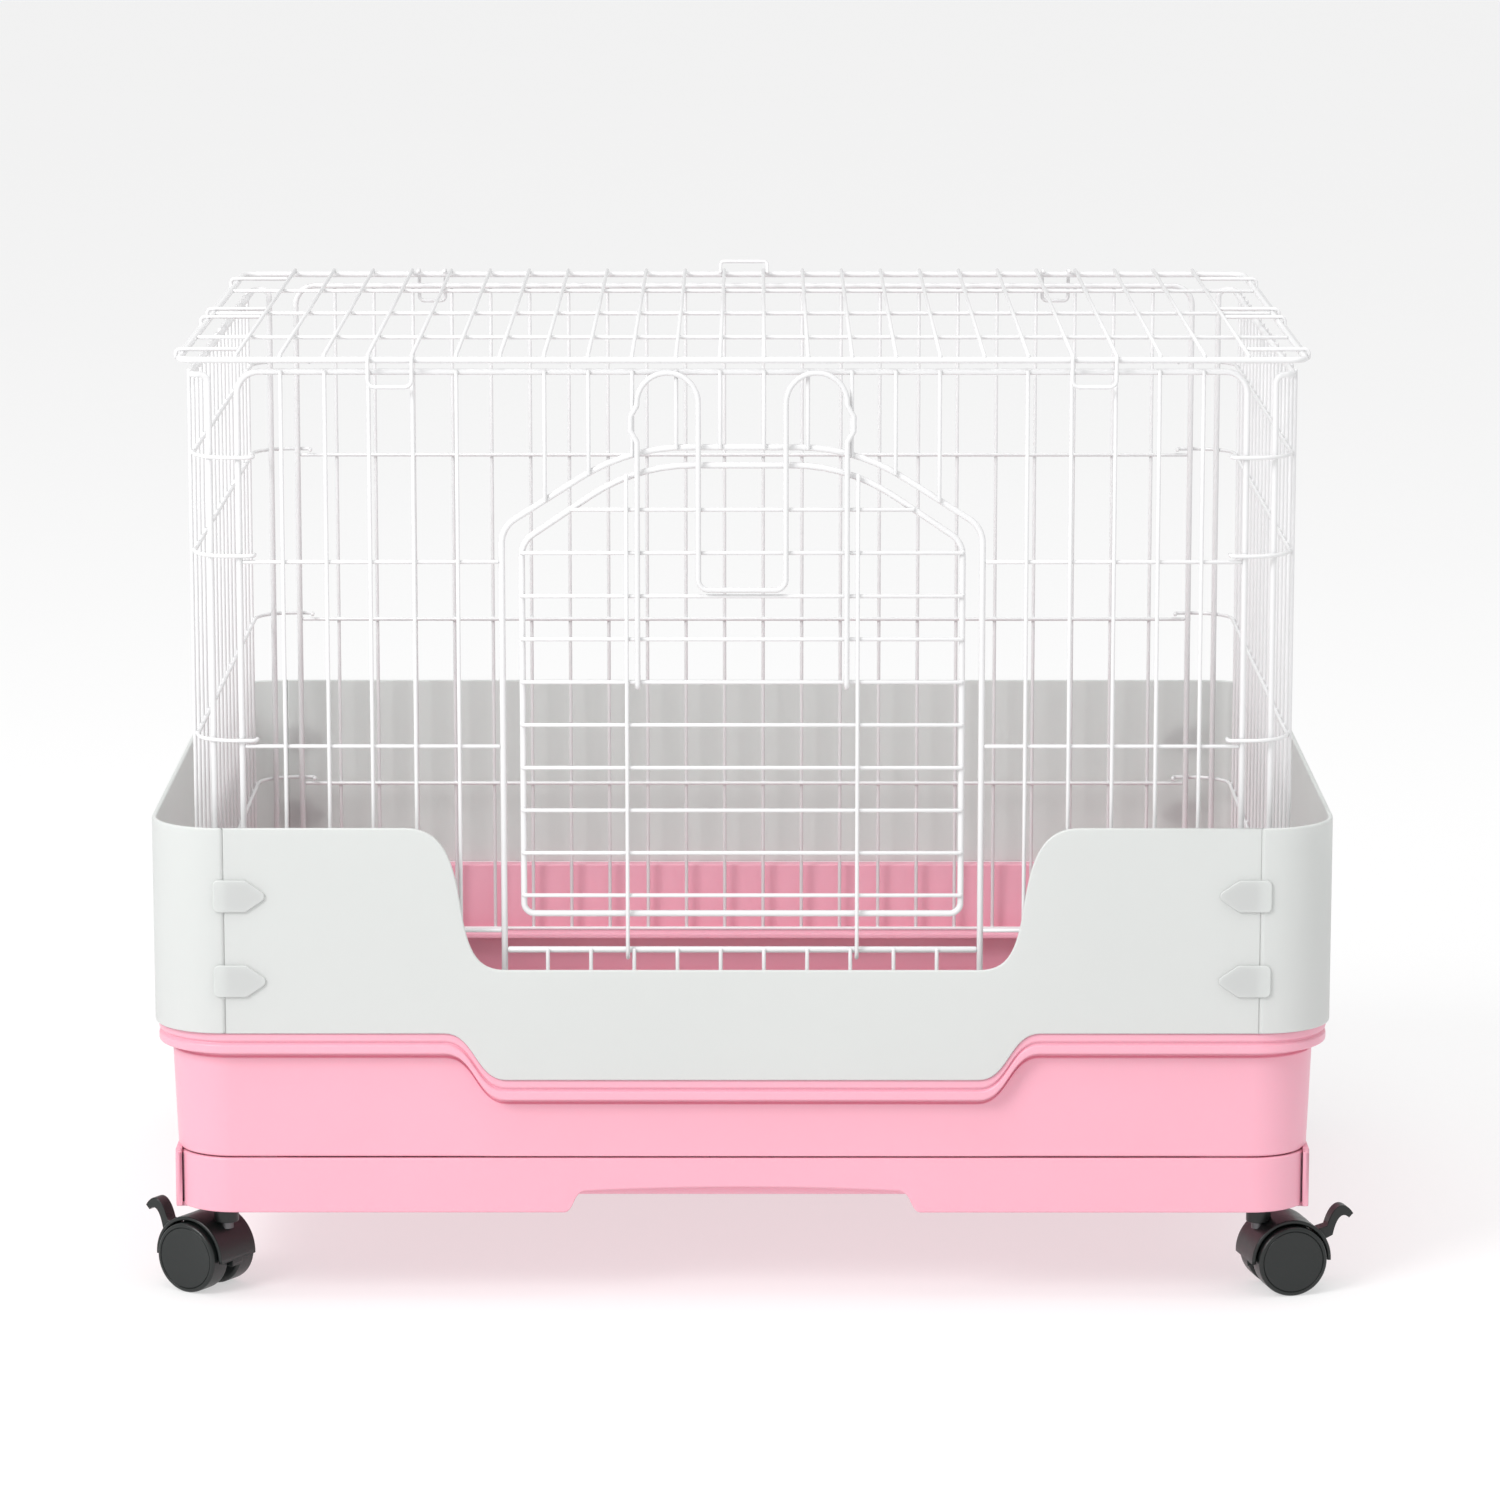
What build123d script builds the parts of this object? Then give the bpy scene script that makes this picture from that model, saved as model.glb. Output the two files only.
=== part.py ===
from build123d import *
import os
from math import cos, radians, sin, sqrt

# Wire rabbit cage on a pink plastic base with four braked twin-wheel castors.
# Millimetres. X runs to the right of the door, Y to the back, Z up; the origin is on the
# floor, under the middle of the cage.

# ---------------------------------------------------------------- driving dimensions
frame_wire = 3.5                  # diameter of the wire that borders each panel
mesh_wire = 2.2                   # diameter of the fine wires
latch_wire = 3.0
weld_depth = 0.3                  # how far two crossing wires sink into each other
butt_depth = 0.1                  # how far a wire's end sinks into the wire it meets
overrun = 1.0                     # how far a fine wire runs past the border it crosses
pitch = 24.0                      # spacing of the fine wires
pitches_wide = 23

mesh_half_width = 301.5           # side panels' border wires
mesh_half_depth = 213.0           # front and back panels' border wires
panel_half_width = pitch * pitches_wide / 2
mesh_foot = 118.0                 # top of the ledge the panels stand on
mesh_top = 524.0                  # top bars of the front and back panels
panel_corner = 12.0
panel_rails = (212.0, 316.0, 419.0)
side_rails = (215.5, 319.5, 422.5, 477.0)
side_uprights = 17
side_gap = 0.3                    # between the side panels and the front and back panels

opening_half_width = 132.0
opening_sill = 201.0
opening_shoulder = 438.0
opening_top = 482.5
opening_flat = 62.0               # half width between the two upper corners of the arch
opening_arch = 110.0              # radius of those corners
opening_bend = 16.0               # radius at the shoulders
door_half_width = 121.0
door_foot = 221.6
door_shoulder = 430.0
door_top = 472.5
door_flat = 58.0
door_arch = 100.0
door_bends = (14.0, 6.0)          # radii at the shoulders and at the foot
door_rail_count = 10
door_rail_low = 232.3
hinge_rod_x = 63.5

lid_half_width = 307.5
lid_front = -218.0
lid_height = 531.0                # border wire of the lid
lid_corner = 9.0
lid_long_wires = (-119.0, -2.0, 115.0)
clip_drop = 17.0                  # front clips, below the cross wires
clip_reach = 3.7                  # front clips, in front of the lid's border
hook_drop = 10.0                  # rear hooks, below the top bar
hook_reach = 7.0                  # rear hooks, behind the top bar

guard_half_width = 328.5
guard_half_depth = 235.0
guard_thickness = 2.5
guard_corner = 40.0
guard_seam = 286.0
guard_top = 274.0
guard_dip = 194.0                 # top edge below the door
dip_near = 131.0                  # half width of the dip at its bottom
dip_far = 186.0                   # half width of the dip at the top

rim_height = 158.0
rim_dip = 131.5
rim_band = 12.0                   # height of the double-ridged rim
rim_bead = 4.5                    # height of each of its ridges
rim_groove = 2.5                  # depth of the groove between them
wave_near = 131.0                 # the rim is low between these, and high beyond wave_far
wave_far = 165.0
rim_half_width = 327.0
rim_half_depth = 233.5
tub_half_width = 317.0            # where the wall starts, at the seam
tub_half_depth = 224.0
tub_corner = 33.0
tub_seam = 85.0
tub_draft = 2.3                   # degrees the wall leans out
tub_wall = 3.0
base_bottom = 52.5

drawer_half_width = 262.0
drawer_wall = 2.0
drawer_front_depth = 15.5         # the drawer front wraps the corners this far back
drawer_gap = 0.7

running_gap = 0.1                 # radial clearance of every turning fit
castor_x = 291.0
castor_y = 193.0
wheel_radius = 20.0
wheel_width = 14.0
wheel_trail = 15.0
web_half_width = 4.5
hood_radius = 23.3
hood_half_width = 16.0
stem_radius = 4.0
axle_radius = 2.0

# Direction from each stem to its wheels, in degrees from +X.
castor_headings = {
    "front_left": 147.0,
    "front_right": 13.0,
    "rear_left": 193.0,
    "rear_right": -33.0,
}

frame_to_mesh = frame_wire / 2 + mesh_wire / 2 - weld_depth
mesh_to_mesh = mesh_wire - weld_depth
os.makedirs("parts", exist_ok=True)


# ---------------------------------------------------------------- wire tools
def bent_wire(points, diameter, radius):
    """Add one round wire to the open part: straight runs through points, joined by bends."""
    with BuildLine() as route:
        FilletPolyline(*points, radius=radius)
    with BuildSketch(Plane(origin=route.line @ 0, z_dir=route.line % 0)) as section:
        Circle(diameter / 2)
    sweep(section.sketch, path=route.line)


def ring_wire(points, diameter, radius):
    """Add one closed round wire to the open part."""
    with BuildLine() as route:
        FilletPolyline(*points, radius=radius, close=True)
    with BuildSketch(Plane(origin=route.line @ 0, z_dir=route.line % 0)) as section:
        Circle(diameter / 2)
    sweep(section.sketch, path=route.line)


def wires_up(places, low, high, diameter):
    """Add vertical wires at the (x, y) places."""
    with BuildSketch(Plane.XY.offset(low)) as section:
        with Locations(*places):
            Circle(diameter / 2)
    extrude(section.sketch, amount=high - low)


def wires_across(places, left, right, diameter):
    """Add wires along X at the (y, z) places."""
    with BuildSketch(Plane.YZ.offset(left)) as section:
        with Locations(*places):
            Circle(diameter / 2)
    extrude(section.sketch, amount=right - left)


def wires_back(places, front, back, diameter):
    """Add wires along Y at the (x, z) places."""
    with BuildSketch(Plane.XZ.offset(-back)) as section:
        with Locations(*places):
            Circle(diameter / 2)
    extrude(section.sketch, amount=back - front)


def save(part, name):
    part.label = name
    export_step(part, f"parts/{name}.step")


# ---------------------------------------------------------------- front panel
front_y = -mesh_half_depth
upright_xs = [pitch * k - panel_half_width for k in range(1, pitches_wide)]
outer_xs = [x for x in upright_xs if abs(x) > opening_half_width + frame_wire]
inner_xs = [x for x in upright_xs if abs(x) < opening_half_width - frame_wire]
foot_rail = mesh_foot + mesh_wire / 2 + 0.1
arch_start = 30.0
arch_slope = (opening_top - opening_shoulder) / (opening_half_width - opening_flat)


def arch_height(x):
    """Height of the opening's arch at x: flat, then a bend, then a straight slope."""
    slope_start = opening_half_width - (opening_half_width - opening_flat) / 2
    if abs(x) <= arch_start:
        return opening_top
    if abs(x) < slope_start:
        return opening_top - opening_arch + sqrt(opening_arch**2 - (abs(x) - arch_start) ** 2)
    return opening_shoulder + (opening_half_width - abs(x)) * arch_slope


with BuildPart() as front_frame:
    bent_wire(
        [
            (-panel_half_width, front_y, mesh_foot),
            (-panel_half_width, front_y, mesh_top),
            (panel_half_width, front_y, mesh_top),
            (panel_half_width, front_y, mesh_foot),
        ],
        frame_wire,
        panel_corner,
    )
save(front_frame.part, "front_frame")

with BuildPart() as front_uprights:
    layer = front_y - frame_to_mesh
    wires_up([(x, layer) for x in outer_xs], mesh_foot, mesh_top + overrun, mesh_wire)
    wires_up([(x, layer) for x in inner_xs], mesh_foot, opening_sill + overrun, mesh_wire)
    for upright_x in inner_xs:
        arch = arch_height(upright_x) - overrun
        wires_up([(upright_x, layer)], arch, mesh_top + overrun, mesh_wire)
save(front_uprights.part, "front_uprights")

with BuildPart() as front_rails:
    layer = front_y - frame_to_mesh + mesh_to_mesh
    inner_end = opening_half_width + frame_wire / 2 - butt_depth
    outer_end = panel_half_width - frame_wire / 2 + butt_depth
    places = [(layer, z) for z in panel_rails]
    wires_across(places, -outer_end, -inner_end, mesh_wire)
    wires_across(places, inner_end, outer_end, mesh_wire)
    wires_across([(layer, foot_rail)], -outer_end, -inner_end, mesh_wire)
    wires_across([(layer, foot_rail)], inner_end, outer_end, mesh_wire)
    middle_end = opening_half_width - frame_wire / 2 + butt_depth
    wires_across([(layer, foot_rail)], -middle_end, middle_end, mesh_wire)
save(front_rails.part, "front_rails")

with BuildPart() as opening_frame:
    bent_wire(
        [
            (-opening_half_width, front_y, mesh_foot),
            (-opening_half_width, front_y, opening_shoulder),
            (-opening_flat, front_y, opening_top),
            (opening_flat, front_y, opening_top),
            (opening_half_width, front_y, opening_shoulder),
            (opening_half_width, front_y, mesh_foot),
        ],
        frame_wire,
        [opening_bend, opening_arch, opening_arch, opening_bend],
    )
save(opening_frame.part, "opening_frame")

with BuildPart() as door_sill:
    sill_end = opening_half_width - frame_wire / 2 + butt_depth
    wires_across([(front_y, opening_sill)], -sill_end, sill_end, frame_wire)
save(door_sill.part, "door_sill")

# ---------------------------------------------------------------- back panel
back_y = mesh_half_depth

with BuildPart() as back_frame:
    bent_wire(
        [
            (-panel_half_width, back_y, mesh_foot),
            (-panel_half_width, back_y, mesh_top),
            (panel_half_width, back_y, mesh_top),
            (panel_half_width, back_y, mesh_foot),
        ],
        frame_wire,
        panel_corner,
    )
save(back_frame.part, "back_frame")

with BuildPart() as back_uprights:
    layer = back_y + frame_to_mesh
    wires_up([(x, layer) for x in upright_xs], mesh_foot, mesh_top + overrun, mesh_wire)
save(back_uprights.part, "back_uprights")

with BuildPart() as back_rails:
    layer = back_y + frame_to_mesh - mesh_to_mesh
    outer_end = panel_half_width - frame_wire / 2 + butt_depth
    places = [(layer, z) for z in (foot_rail, *panel_rails)]
    wires_across(places, -outer_end, outer_end, mesh_wire)
save(back_rails.part, "back_rails")

# ---------------------------------------------------------------- side panels
# Each side panel reaches round both corners: its end posts stand beside the front and back
# panels, and its rails hook over the border wires of those panels.
post_x = 292.0
post_y = mesh_half_depth - frame_wire - side_gap
side_bend = (mesh_half_width - post_x) / 2 - 0.05
side_top = mesh_top - 2.0
rail_front = mesh_half_depth + frame_wire / 2 + mesh_wire / 2 + 0.05
hook_x = panel_half_width - 8.0
hook_length = 7.0
hook_bend = 3.0
side_upright_x = mesh_half_width + frame_to_mesh
side_rail_x = side_upright_x - mesh_to_mesh
rail_corner = 22.0
upright_ys = [pitch * (k - (side_uprights - 1) / 2) for k in range(side_uprights)]

for side, sign in (("left", -1), ("right", 1)):
    with BuildPart() as side_frame:
        bent_wire(
            [
                (sign * post_x, -post_y, mesh_foot),
                (sign * post_x, -post_y, side_top),
                (sign * mesh_half_width, -post_y, side_top),
                (sign * mesh_half_width, post_y, side_top),
                (sign * post_x, post_y, side_top),
                (sign * post_x, post_y, mesh_foot),
            ],
            frame_wire,
            side_bend,
        )
    save(side_frame.part, f"{side}_frame")

    with BuildPart() as side_uprights_part:
        places = [(sign * side_upright_x, y) for y in upright_ys]
        wires_up(places, mesh_foot, side_top + overrun, mesh_wire)
    save(side_uprights_part.part, f"{side}_uprights")

    with BuildPart() as side_rails_part:
        for rail_z in side_rails:
            bent_wire(
                [
                    (sign * hook_x, -rail_front + hook_length, rail_z),
                    (sign * hook_x, -rail_front, rail_z),
                    (sign * side_rail_x, -rail_front, rail_z),
                    (sign * side_rail_x, rail_front, rail_z),
                    (sign * hook_x, rail_front, rail_z),
                    (sign * hook_x, rail_front - hook_length, rail_z),
                ],
                mesh_wire,
                [hook_bend, rail_corner, rail_corner, hook_bend],
            )
        foot_end = upright_ys[-1] + pitch / 4
        wires_back([(sign * side_rail_x, foot_rail)], -foot_end, foot_end, mesh_wire)
    save(side_rails_part.part, f"{side}_rails")

# ---------------------------------------------------------------- lid
# The lid's border lies just above the top bars. It turns about the back panel's top bar,
# which its two rear hooks go round; the two front clips snap over the front top bar.
cross_z = lid_height + frame_to_mesh
long_z = cross_z - mesh_to_mesh
cross_xs = [pitch * k - panel_half_width for k in range(pitches_wide + 1)]
clip_pairs = ((3, 4), (19, 20))
lid_back = mesh_half_depth
clip_front = lid_front - clip_reach
clip_low = cross_z - clip_drop
hook_back = lid_back + hook_reach
hook_low = mesh_top - hook_drop
side_loop_x = lid_half_width + 3.8
side_loop_z = cross_z - 5
side_loop_bend = 2.4

with BuildPart() as lid_frame:
    ring_wire(
        [
            (-lid_half_width, lid_front, lid_height),
            (lid_half_width, lid_front, lid_height),
            (lid_half_width, lid_back, lid_height),
            (-lid_half_width, lid_back, lid_height),
        ],
        frame_wire,
        lid_corner,
    )
save(lid_frame.part, "lid_frame")

with BuildPart() as lid_cross_wires:
    places = [(x, cross_z) for x in cross_xs]
    wires_back(places, lid_front - overrun, lid_back + 2 * overrun, mesh_wire)
save(lid_cross_wires.part, "lid_cross_wires")

with BuildPart() as lid_long_wires_part:
    long_end = lid_half_width - frame_wire / 2 + butt_depth
    wires_across([(y, long_z) for y in lid_long_wires], -long_end, long_end, mesh_wire)
save(lid_long_wires_part.part, "lid_long_wires")

with BuildPart() as lid_clips:
    for first, last in clip_pairs:
        left_x = cross_xs[first]
        right_x = cross_xs[last]
        bent_wire(
            [
                (left_x, lid_front - overrun, cross_z),
                (left_x, clip_front, cross_z),
                (left_x, clip_front, clip_low),
                (right_x, clip_front, clip_low),
                (right_x, clip_front, cross_z),
                (right_x, lid_front - overrun, cross_z),
            ],
            mesh_wire,
            [2.2, 4, 4, 2.2],
        )
        hook_left = left_x + 4
        hook_right = right_x - 4
        bent_wire(
            [
                (hook_left, lid_back - 8, cross_z),
                (hook_left, hook_back, cross_z),
                (hook_left, hook_back, hook_low),
                (hook_right, hook_back, hook_low),
                (hook_right, hook_back, cross_z),
                (hook_right, lid_back - 8, cross_z),
            ],
            mesh_wire,
            3,
        )
    for sign in (-1, 1):
        for near, far in ((-190, -36), (4, 164)):
            bent_wire(
                [
                    (sign * (panel_half_width + overrun), near, cross_z),
                    (sign * side_loop_x, near, cross_z),
                    (sign * side_loop_x, near, side_loop_z),
                    (sign * side_loop_x, far, side_loop_z),
                    (sign * side_loop_x, far, cross_z),
                    (sign * (panel_half_width + overrun), far, cross_z),
                ],
                mesh_wire,
                side_loop_bend,
            )
    # A small raised finger loop stands at the middle of the back edge.
    loop_left = cross_xs[11] - 2.4
    loop_right = cross_xs[12] + 2.4
    loop_top = cross_z + 5.2
    bent_wire(
        [
            (loop_left, lid_back - 12, cross_z),
            (loop_left, lid_back, cross_z),
            (loop_left, lid_back + 2, loop_top),
            (loop_right, lid_back + 2, loop_top),
            (loop_right, lid_back, cross_z),
            (loop_right, lid_back - 12, cross_z),
        ],
        mesh_wire,
        side_loop_bend,
    )
save(lid_clips.part, "lid_clips")

# ---------------------------------------------------------------- door
door_outline = [
    (-door_half_width, front_y, door_foot),
    (-door_half_width, front_y, door_shoulder),
    (-door_flat, front_y, door_top),
    (door_flat, front_y, door_top),
    (door_half_width, front_y, door_shoulder),
    (door_half_width, front_y, door_foot),
]
door_slope = (door_half_width - door_flat) / (door_top - door_shoulder)

with BuildPart() as door_frame:
    shoulder, foot = door_bends
    ring_wire(
        door_outline, frame_wire, [foot, shoulder, door_arch, door_arch, shoulder, foot]
    )
save(door_frame.part, "door_frame")

door_rail_zs = [door_rail_low + pitch * k for k in range(door_rail_count)]
door_rail_y = front_y - frame_to_mesh

with BuildPart() as door_rails:
    for rail_z in door_rail_zs:
        narrowing = max(0, rail_z - door_shoulder) * door_slope
        reach = door_half_width - narrowing + 0.5
        wires_across([(door_rail_y, rail_z)], -reach, reach, mesh_wire)
save(door_rails.part, "door_rails")

rod_y = door_rail_y - mesh_to_mesh
rod_ring = front_y - rod_y

with BuildPart() as door_hinge_rods:
    for rod_x in (-hinge_rod_x, hinge_rod_x):
        with BuildLine() as rod_route:
            rod_side = Plane(origin=(rod_x, front_y, opening_sill), x_dir=(0, 1, 0), z_dir=(1, 0, 0))
            rod_top = rod_side.from_local_coords((-rod_ring, door_top - 4 - opening_sill))
            rod_turn = rod_side.from_local_coords((-rod_ring, 0))
            Line(rod_top, rod_turn)
            rod_under = rod_side.from_local_coords((0, -rod_ring))
            rod_behind = rod_side.from_local_coords((rod_ring, 0))
            ThreePointArc(rod_turn, rod_under, rod_behind)
        with BuildSketch(Plane(origin=rod_top, z_dir=(0, 0, -1))) as rod_section:
            Circle(mesh_wire / 2)
        sweep(rod_section.sketch, path=rod_route.line)
save(door_hinge_rods.part, "door_hinge_rods")

# The latch is one spring wire shaped like an M, pinned on the fifth door rail from the top.
latch_rail_z = door_rail_zs[5]
latch_ring = mesh_wire / 2 + latch_wire / 2 + 0.1
latch_y = door_rail_y - latch_ring
leg_outer = 57.5
leg_inner = 24.0
kink_reach = 61.0
latch_top = 524.0
handle_z = 404.0

with BuildPart() as door_latch:
    upper = [
        (-leg_outer, 486.0),
        (-kink_reach, 492.0),
        (-kink_reach, 500.0),
        (-leg_outer, 506.0),
        (-leg_outer, latch_top),
        (-leg_inner, latch_top),
        (-leg_inner, handle_z),
        (leg_inner, handle_z),
        (leg_inner, latch_top),
        (leg_outer, latch_top),
        (leg_outer, 506.0),
        (kink_reach, 500.0),
        (kink_reach, 492.0),
        (leg_outer, 486.0),
    ]
    behind = door_rail_y + latch_ring
    left_ring = [
        (-leg_outer, behind, latch_rail_z + 4),
        (-leg_outer, behind, latch_rail_z - latch_ring),
        (-leg_outer, latch_y, latch_rail_z - latch_ring),
    ]
    latch_points = left_ring
    latch_points = latch_points + [(x, latch_y, z) for x, z in upper]
    latch_points = latch_points + [(-x, y, z) for x, y, z in reversed(left_ring)]
    kink_bends = [3, 3, 3, 3]
    handle_bend = 6.0                 # corners at the foot of the finger loop
    arc = (leg_outer - leg_inner) / 2 - 0.1
    top_bends = [arc, arc, handle_bend, handle_bend, arc, arc]
    bends = [2.5, 2.5] + kink_bends + top_bends + kink_bends + [2.5, 2.5]
    bent_wire(latch_points, latch_wire, bends)
save(door_latch.part, "door_latch")


# ---------------------------------------------------------------- splash guard
def rim_wave(middle_z, side_z, reach):
    """Add the rim's wave from -reach to reach: low in the middle, high at the sides."""
    half = (wave_near + wave_far) / 2
    Line((-reach, side_z), (-wave_far, side_z))
    Bezier((-wave_far, side_z), (-half, side_z), (-half, middle_z), (-wave_near, middle_z))
    Line((-wave_near, middle_z), (wave_near, middle_z))
    Bezier((wave_near, middle_z), (half, middle_z), (half, side_z), (wave_far, side_z))
    Line((wave_far, side_z), (reach, side_z))


def tongue(sign, front, height):
    """Outline of one pointed tongue that closes a seam, on the front or back face."""
    with BuildSketch(Plane.XZ.offset(front)) as outline:
        with BuildLine():
            Polyline(
                (sign * (guard_seam + 6), height - tongue_half_height),
                (sign * (guard_seam - 12), height - tongue_half_height),
                (sign * (guard_seam - tongue_reach), height),
                (sign * (guard_seam - 12), height + tongue_half_height),
                (sign * (guard_seam + 6), height + tongue_half_height),
                close=True,
            )
        make_face()
    return outline.sketch


tongue_heights = (188.0, 236.0)
tongue_thickness = 1.6
tongue_half_height = 9.0
tongue_reach = 25.0

with BuildPart() as guard_front:
    with BuildSketch(Plane.XZ.offset(guard_half_depth)):
        with BuildLine():
            Line((-guard_seam, guard_top), (-dip_far, guard_top))
            for sign in (-1, 1):
                Bezier(
                    (sign * dip_far, guard_top),
                    (sign * (dip_far - 18), guard_top),
                    (sign * (dip_far - 26), guard_top - 12),
                    (sign * (dip_far - 30), (guard_top + guard_dip) / 2),
                )
                Bezier(
                    (sign * (dip_far - 30), (guard_top + guard_dip) / 2),
                    (sign * (dip_near + 21), guard_dip + 12),
                    (sign * (dip_near + 17), guard_dip),
                    (sign * dip_near, guard_dip),
                )
            Line((-dip_near, guard_dip), (dip_near, guard_dip))
            Line((dip_far, guard_top), (guard_seam, guard_top))
            Line((guard_seam, guard_top), (guard_seam, rim_height))
            rim_wave(rim_dip, rim_height, guard_seam)
            Line((-guard_seam, rim_height), (-guard_seam, guard_top))
        make_face()
    extrude(amount=-guard_thickness)
save(guard_front.part, "guard_front")

with BuildPart() as guard_back:
    with BuildSketch(Plane.XY.offset(rim_height)):
        with Locations((0, guard_half_depth - guard_thickness / 2)):
            Rectangle(2 * guard_seam, guard_thickness)
    extrude(amount=guard_top - rim_height)
save(guard_back.part, "guard_back")

for side, sign in (("left", -1), ("right", 1)):
    with BuildPart() as guard_side:
        with BuildSketch(Plane.XY.offset(rim_height)):
            RectangleRounded(2 * guard_half_width, 2 * guard_half_depth, guard_corner)
            RectangleRounded(
                2 * (guard_half_width - guard_thickness),
                2 * (guard_half_depth - guard_thickness),
                guard_corner - guard_thickness,
                mode=Mode.SUBTRACT,
            )
            with Locations((-sign * guard_half_width, 0)):
                Rectangle(
                    2 * (guard_half_width + guard_seam + 0.1),
                    3 * guard_half_depth,
                    mode=Mode.SUBTRACT,
                )
        extrude(amount=guard_top - rim_height)
        for height in tongue_heights:
            extrude(tongue(sign, guard_half_depth, height), amount=tongue_thickness)
            extrude(tongue(sign, -guard_half_depth, height), amount=-tongue_thickness)
    save(guard_side.part, f"guard_{side}")

# ---------------------------------------------------------------- base tub
# The tub has no floor: it is a wavy-rimmed wall on a flange, which carries the floor grid.
# Below the flange are the skirt, the shelves that the drawer runs on, and a leg at each corner.
ledge_half_width = 290.0
ledge_half_depth = 203.0
flange_half_width = 284.0
flange_half_depth = 196.0
flange = 3.0
shelf_inner = drawer_half_width - 10
shelf = 2.5
leg_radius = 13.0
sleeve_radius = 6.0
drawer_front_y = -tub_half_depth + drawer_front_depth
wall_rise = rim_height - tub_seam


def wave_cut(lift):
    """Face in the front plane that is above the rim's wave, moved up by lift."""
    middle = rim_dip + lift
    side_z = rim_height + lift
    with BuildSketch(Plane.XZ.offset(tub_half_depth - 74)) as outline:
        with BuildLine():
            wide = 2 * guard_half_width
            rim_wave(middle, side_z, wide)
            Polyline(
                (wide, side_z),
                (wide, side_z + 60),
                (-wide, side_z + 60),
                (-wide, side_z),
            )
        make_face()
    return outline.sketch


def rim_ring(proud, top_lift, height):
    """A ring round the wall that follows the wave: proud of the wall, height tall."""
    with BuildPart() as ring:
        with BuildSketch(Plane.XY.offset(rim_dip - rim_band - 2)):
            RectangleRounded(
                2 * (rim_half_width - proud), 2 * (rim_half_depth - proud), guard_corner - proud
            )
            RectangleRounded(
                2 * (tub_half_width - 2), 2 * (tub_half_depth - 2), tub_corner, mode=Mode.SUBTRACT
            )
        extrude(amount=rim_height - rim_dip + rim_band + 2 + top_lift)
        extrude(wave_cut(top_lift), amount=110, mode=Mode.SUBTRACT)
    with BuildPart() as below:
        with BuildSketch(Plane.XY.offset(rim_dip - rim_band - 10)):
            Rectangle(4 * rim_half_width, 4 * rim_half_depth)
        extrude(amount=rim_height - rim_dip + rim_band + 10 + top_lift - height)
        extrude(wave_cut(top_lift - height), amount=310, mode=Mode.SUBTRACT)
    return ring.part - below.part


with BuildPart() as base_tub:
    with BuildSketch(Plane.XY.offset(tub_seam)):
        RectangleRounded(2 * tub_half_width, 2 * tub_half_depth, tub_corner)
    extrude(amount=wall_rise, taper=-tub_draft)
    with BuildSketch(Plane.XY.offset(tub_seam)):
        RectangleRounded(
            2 * (tub_half_width - tub_wall),
            2 * (tub_half_depth - tub_wall),
            tub_corner - tub_wall,
        )
    extrude(amount=wall_rise, taper=-tub_draft, mode=Mode.SUBTRACT)
    extrude(wave_cut(0), amount=110, mode=Mode.SUBTRACT)
    add(rim_ring(0, 0, rim_bead))
    add(rim_ring(rim_groove, -1, rim_band - 2))
    add(rim_ring(0, rim_bead - rim_band, rim_bead))
    # Ledge that the wire panels stand on.
    with BuildSketch(Plane.XY.offset(mesh_foot - flange)):
        RectangleRounded(2 * (tub_half_width - 1), 2 * (tub_half_depth - 1), tub_corner)
        Rectangle(2 * ledge_half_width, 2 * ledge_half_depth, mode=Mode.SUBTRACT)
    extrude(amount=flange)
    # Flange that carries the floor grid.
    with BuildSketch(Plane.XY.offset(tub_seam)):
        RectangleRounded(2 * tub_half_width, 2 * tub_half_depth, tub_corner)
        Rectangle(2 * flange_half_width, 2 * flange_half_depth, mode=Mode.SUBTRACT)
    extrude(amount=flange)
    # Skirt round the back and sides, open at the front for the drawer.
    with BuildSketch(Plane.XY.offset(base_bottom)):
        RectangleRounded(2 * tub_half_width + 1, 2 * tub_half_depth + 1, tub_corner)
        RectangleRounded(
            2 * (tub_half_width - tub_wall),
            2 * (tub_half_depth - tub_wall),
            tub_corner - tub_wall,
            mode=Mode.SUBTRACT,
        )
        with Locations((0, drawer_front_y - tub_half_depth)):
            Rectangle(4 * tub_half_width, 2 * tub_half_depth, mode=Mode.SUBTRACT)
    extrude(amount=tub_seam - base_bottom)
    # Shelves that the drawer slides on.
    with BuildSketch(Plane.XY.offset(base_bottom)):
        RectangleRounded(2 * tub_half_width, 2 * tub_half_depth, tub_corner)
        Rectangle(2 * shelf_inner, 3 * tub_half_depth, mode=Mode.SUBTRACT)
        with Locations((0, drawer_front_y - tub_half_depth)):
            Rectangle(4 * tub_half_width, 2 * tub_half_depth, mode=Mode.SUBTRACT)
    extrude(amount=shelf)
    with BuildSketch(Plane.XY.offset(base_bottom)):
        with GridLocations(2 * castor_x, 2 * castor_y, 2, 2):
            Circle(leg_radius)
    extrude(amount=tub_seam - base_bottom + 1)
    with BuildSketch(Plane.XY.offset(base_bottom)):
        with GridLocations(2 * castor_x, 2 * castor_y, 2, 2):
            Circle(sleeve_radius)
    extrude(amount=tub_seam - base_bottom, mode=Mode.SUBTRACT)
save(base_tub.part, "base_tub")

sleeve_top = tub_seam - 1

with BuildPart() as castor_sleeves:
    with BuildSketch(Plane.XY.offset(base_bottom - 1)):
        with GridLocations(2 * castor_x, 2 * castor_y, 2, 2):
            Circle(sleeve_radius)
            Circle(stem_radius + running_gap, mode=Mode.SUBTRACT)
    extrude(amount=sleeve_top - base_bottom + 1)
save(castor_sleeves.part, "castor_sleeves")

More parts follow.
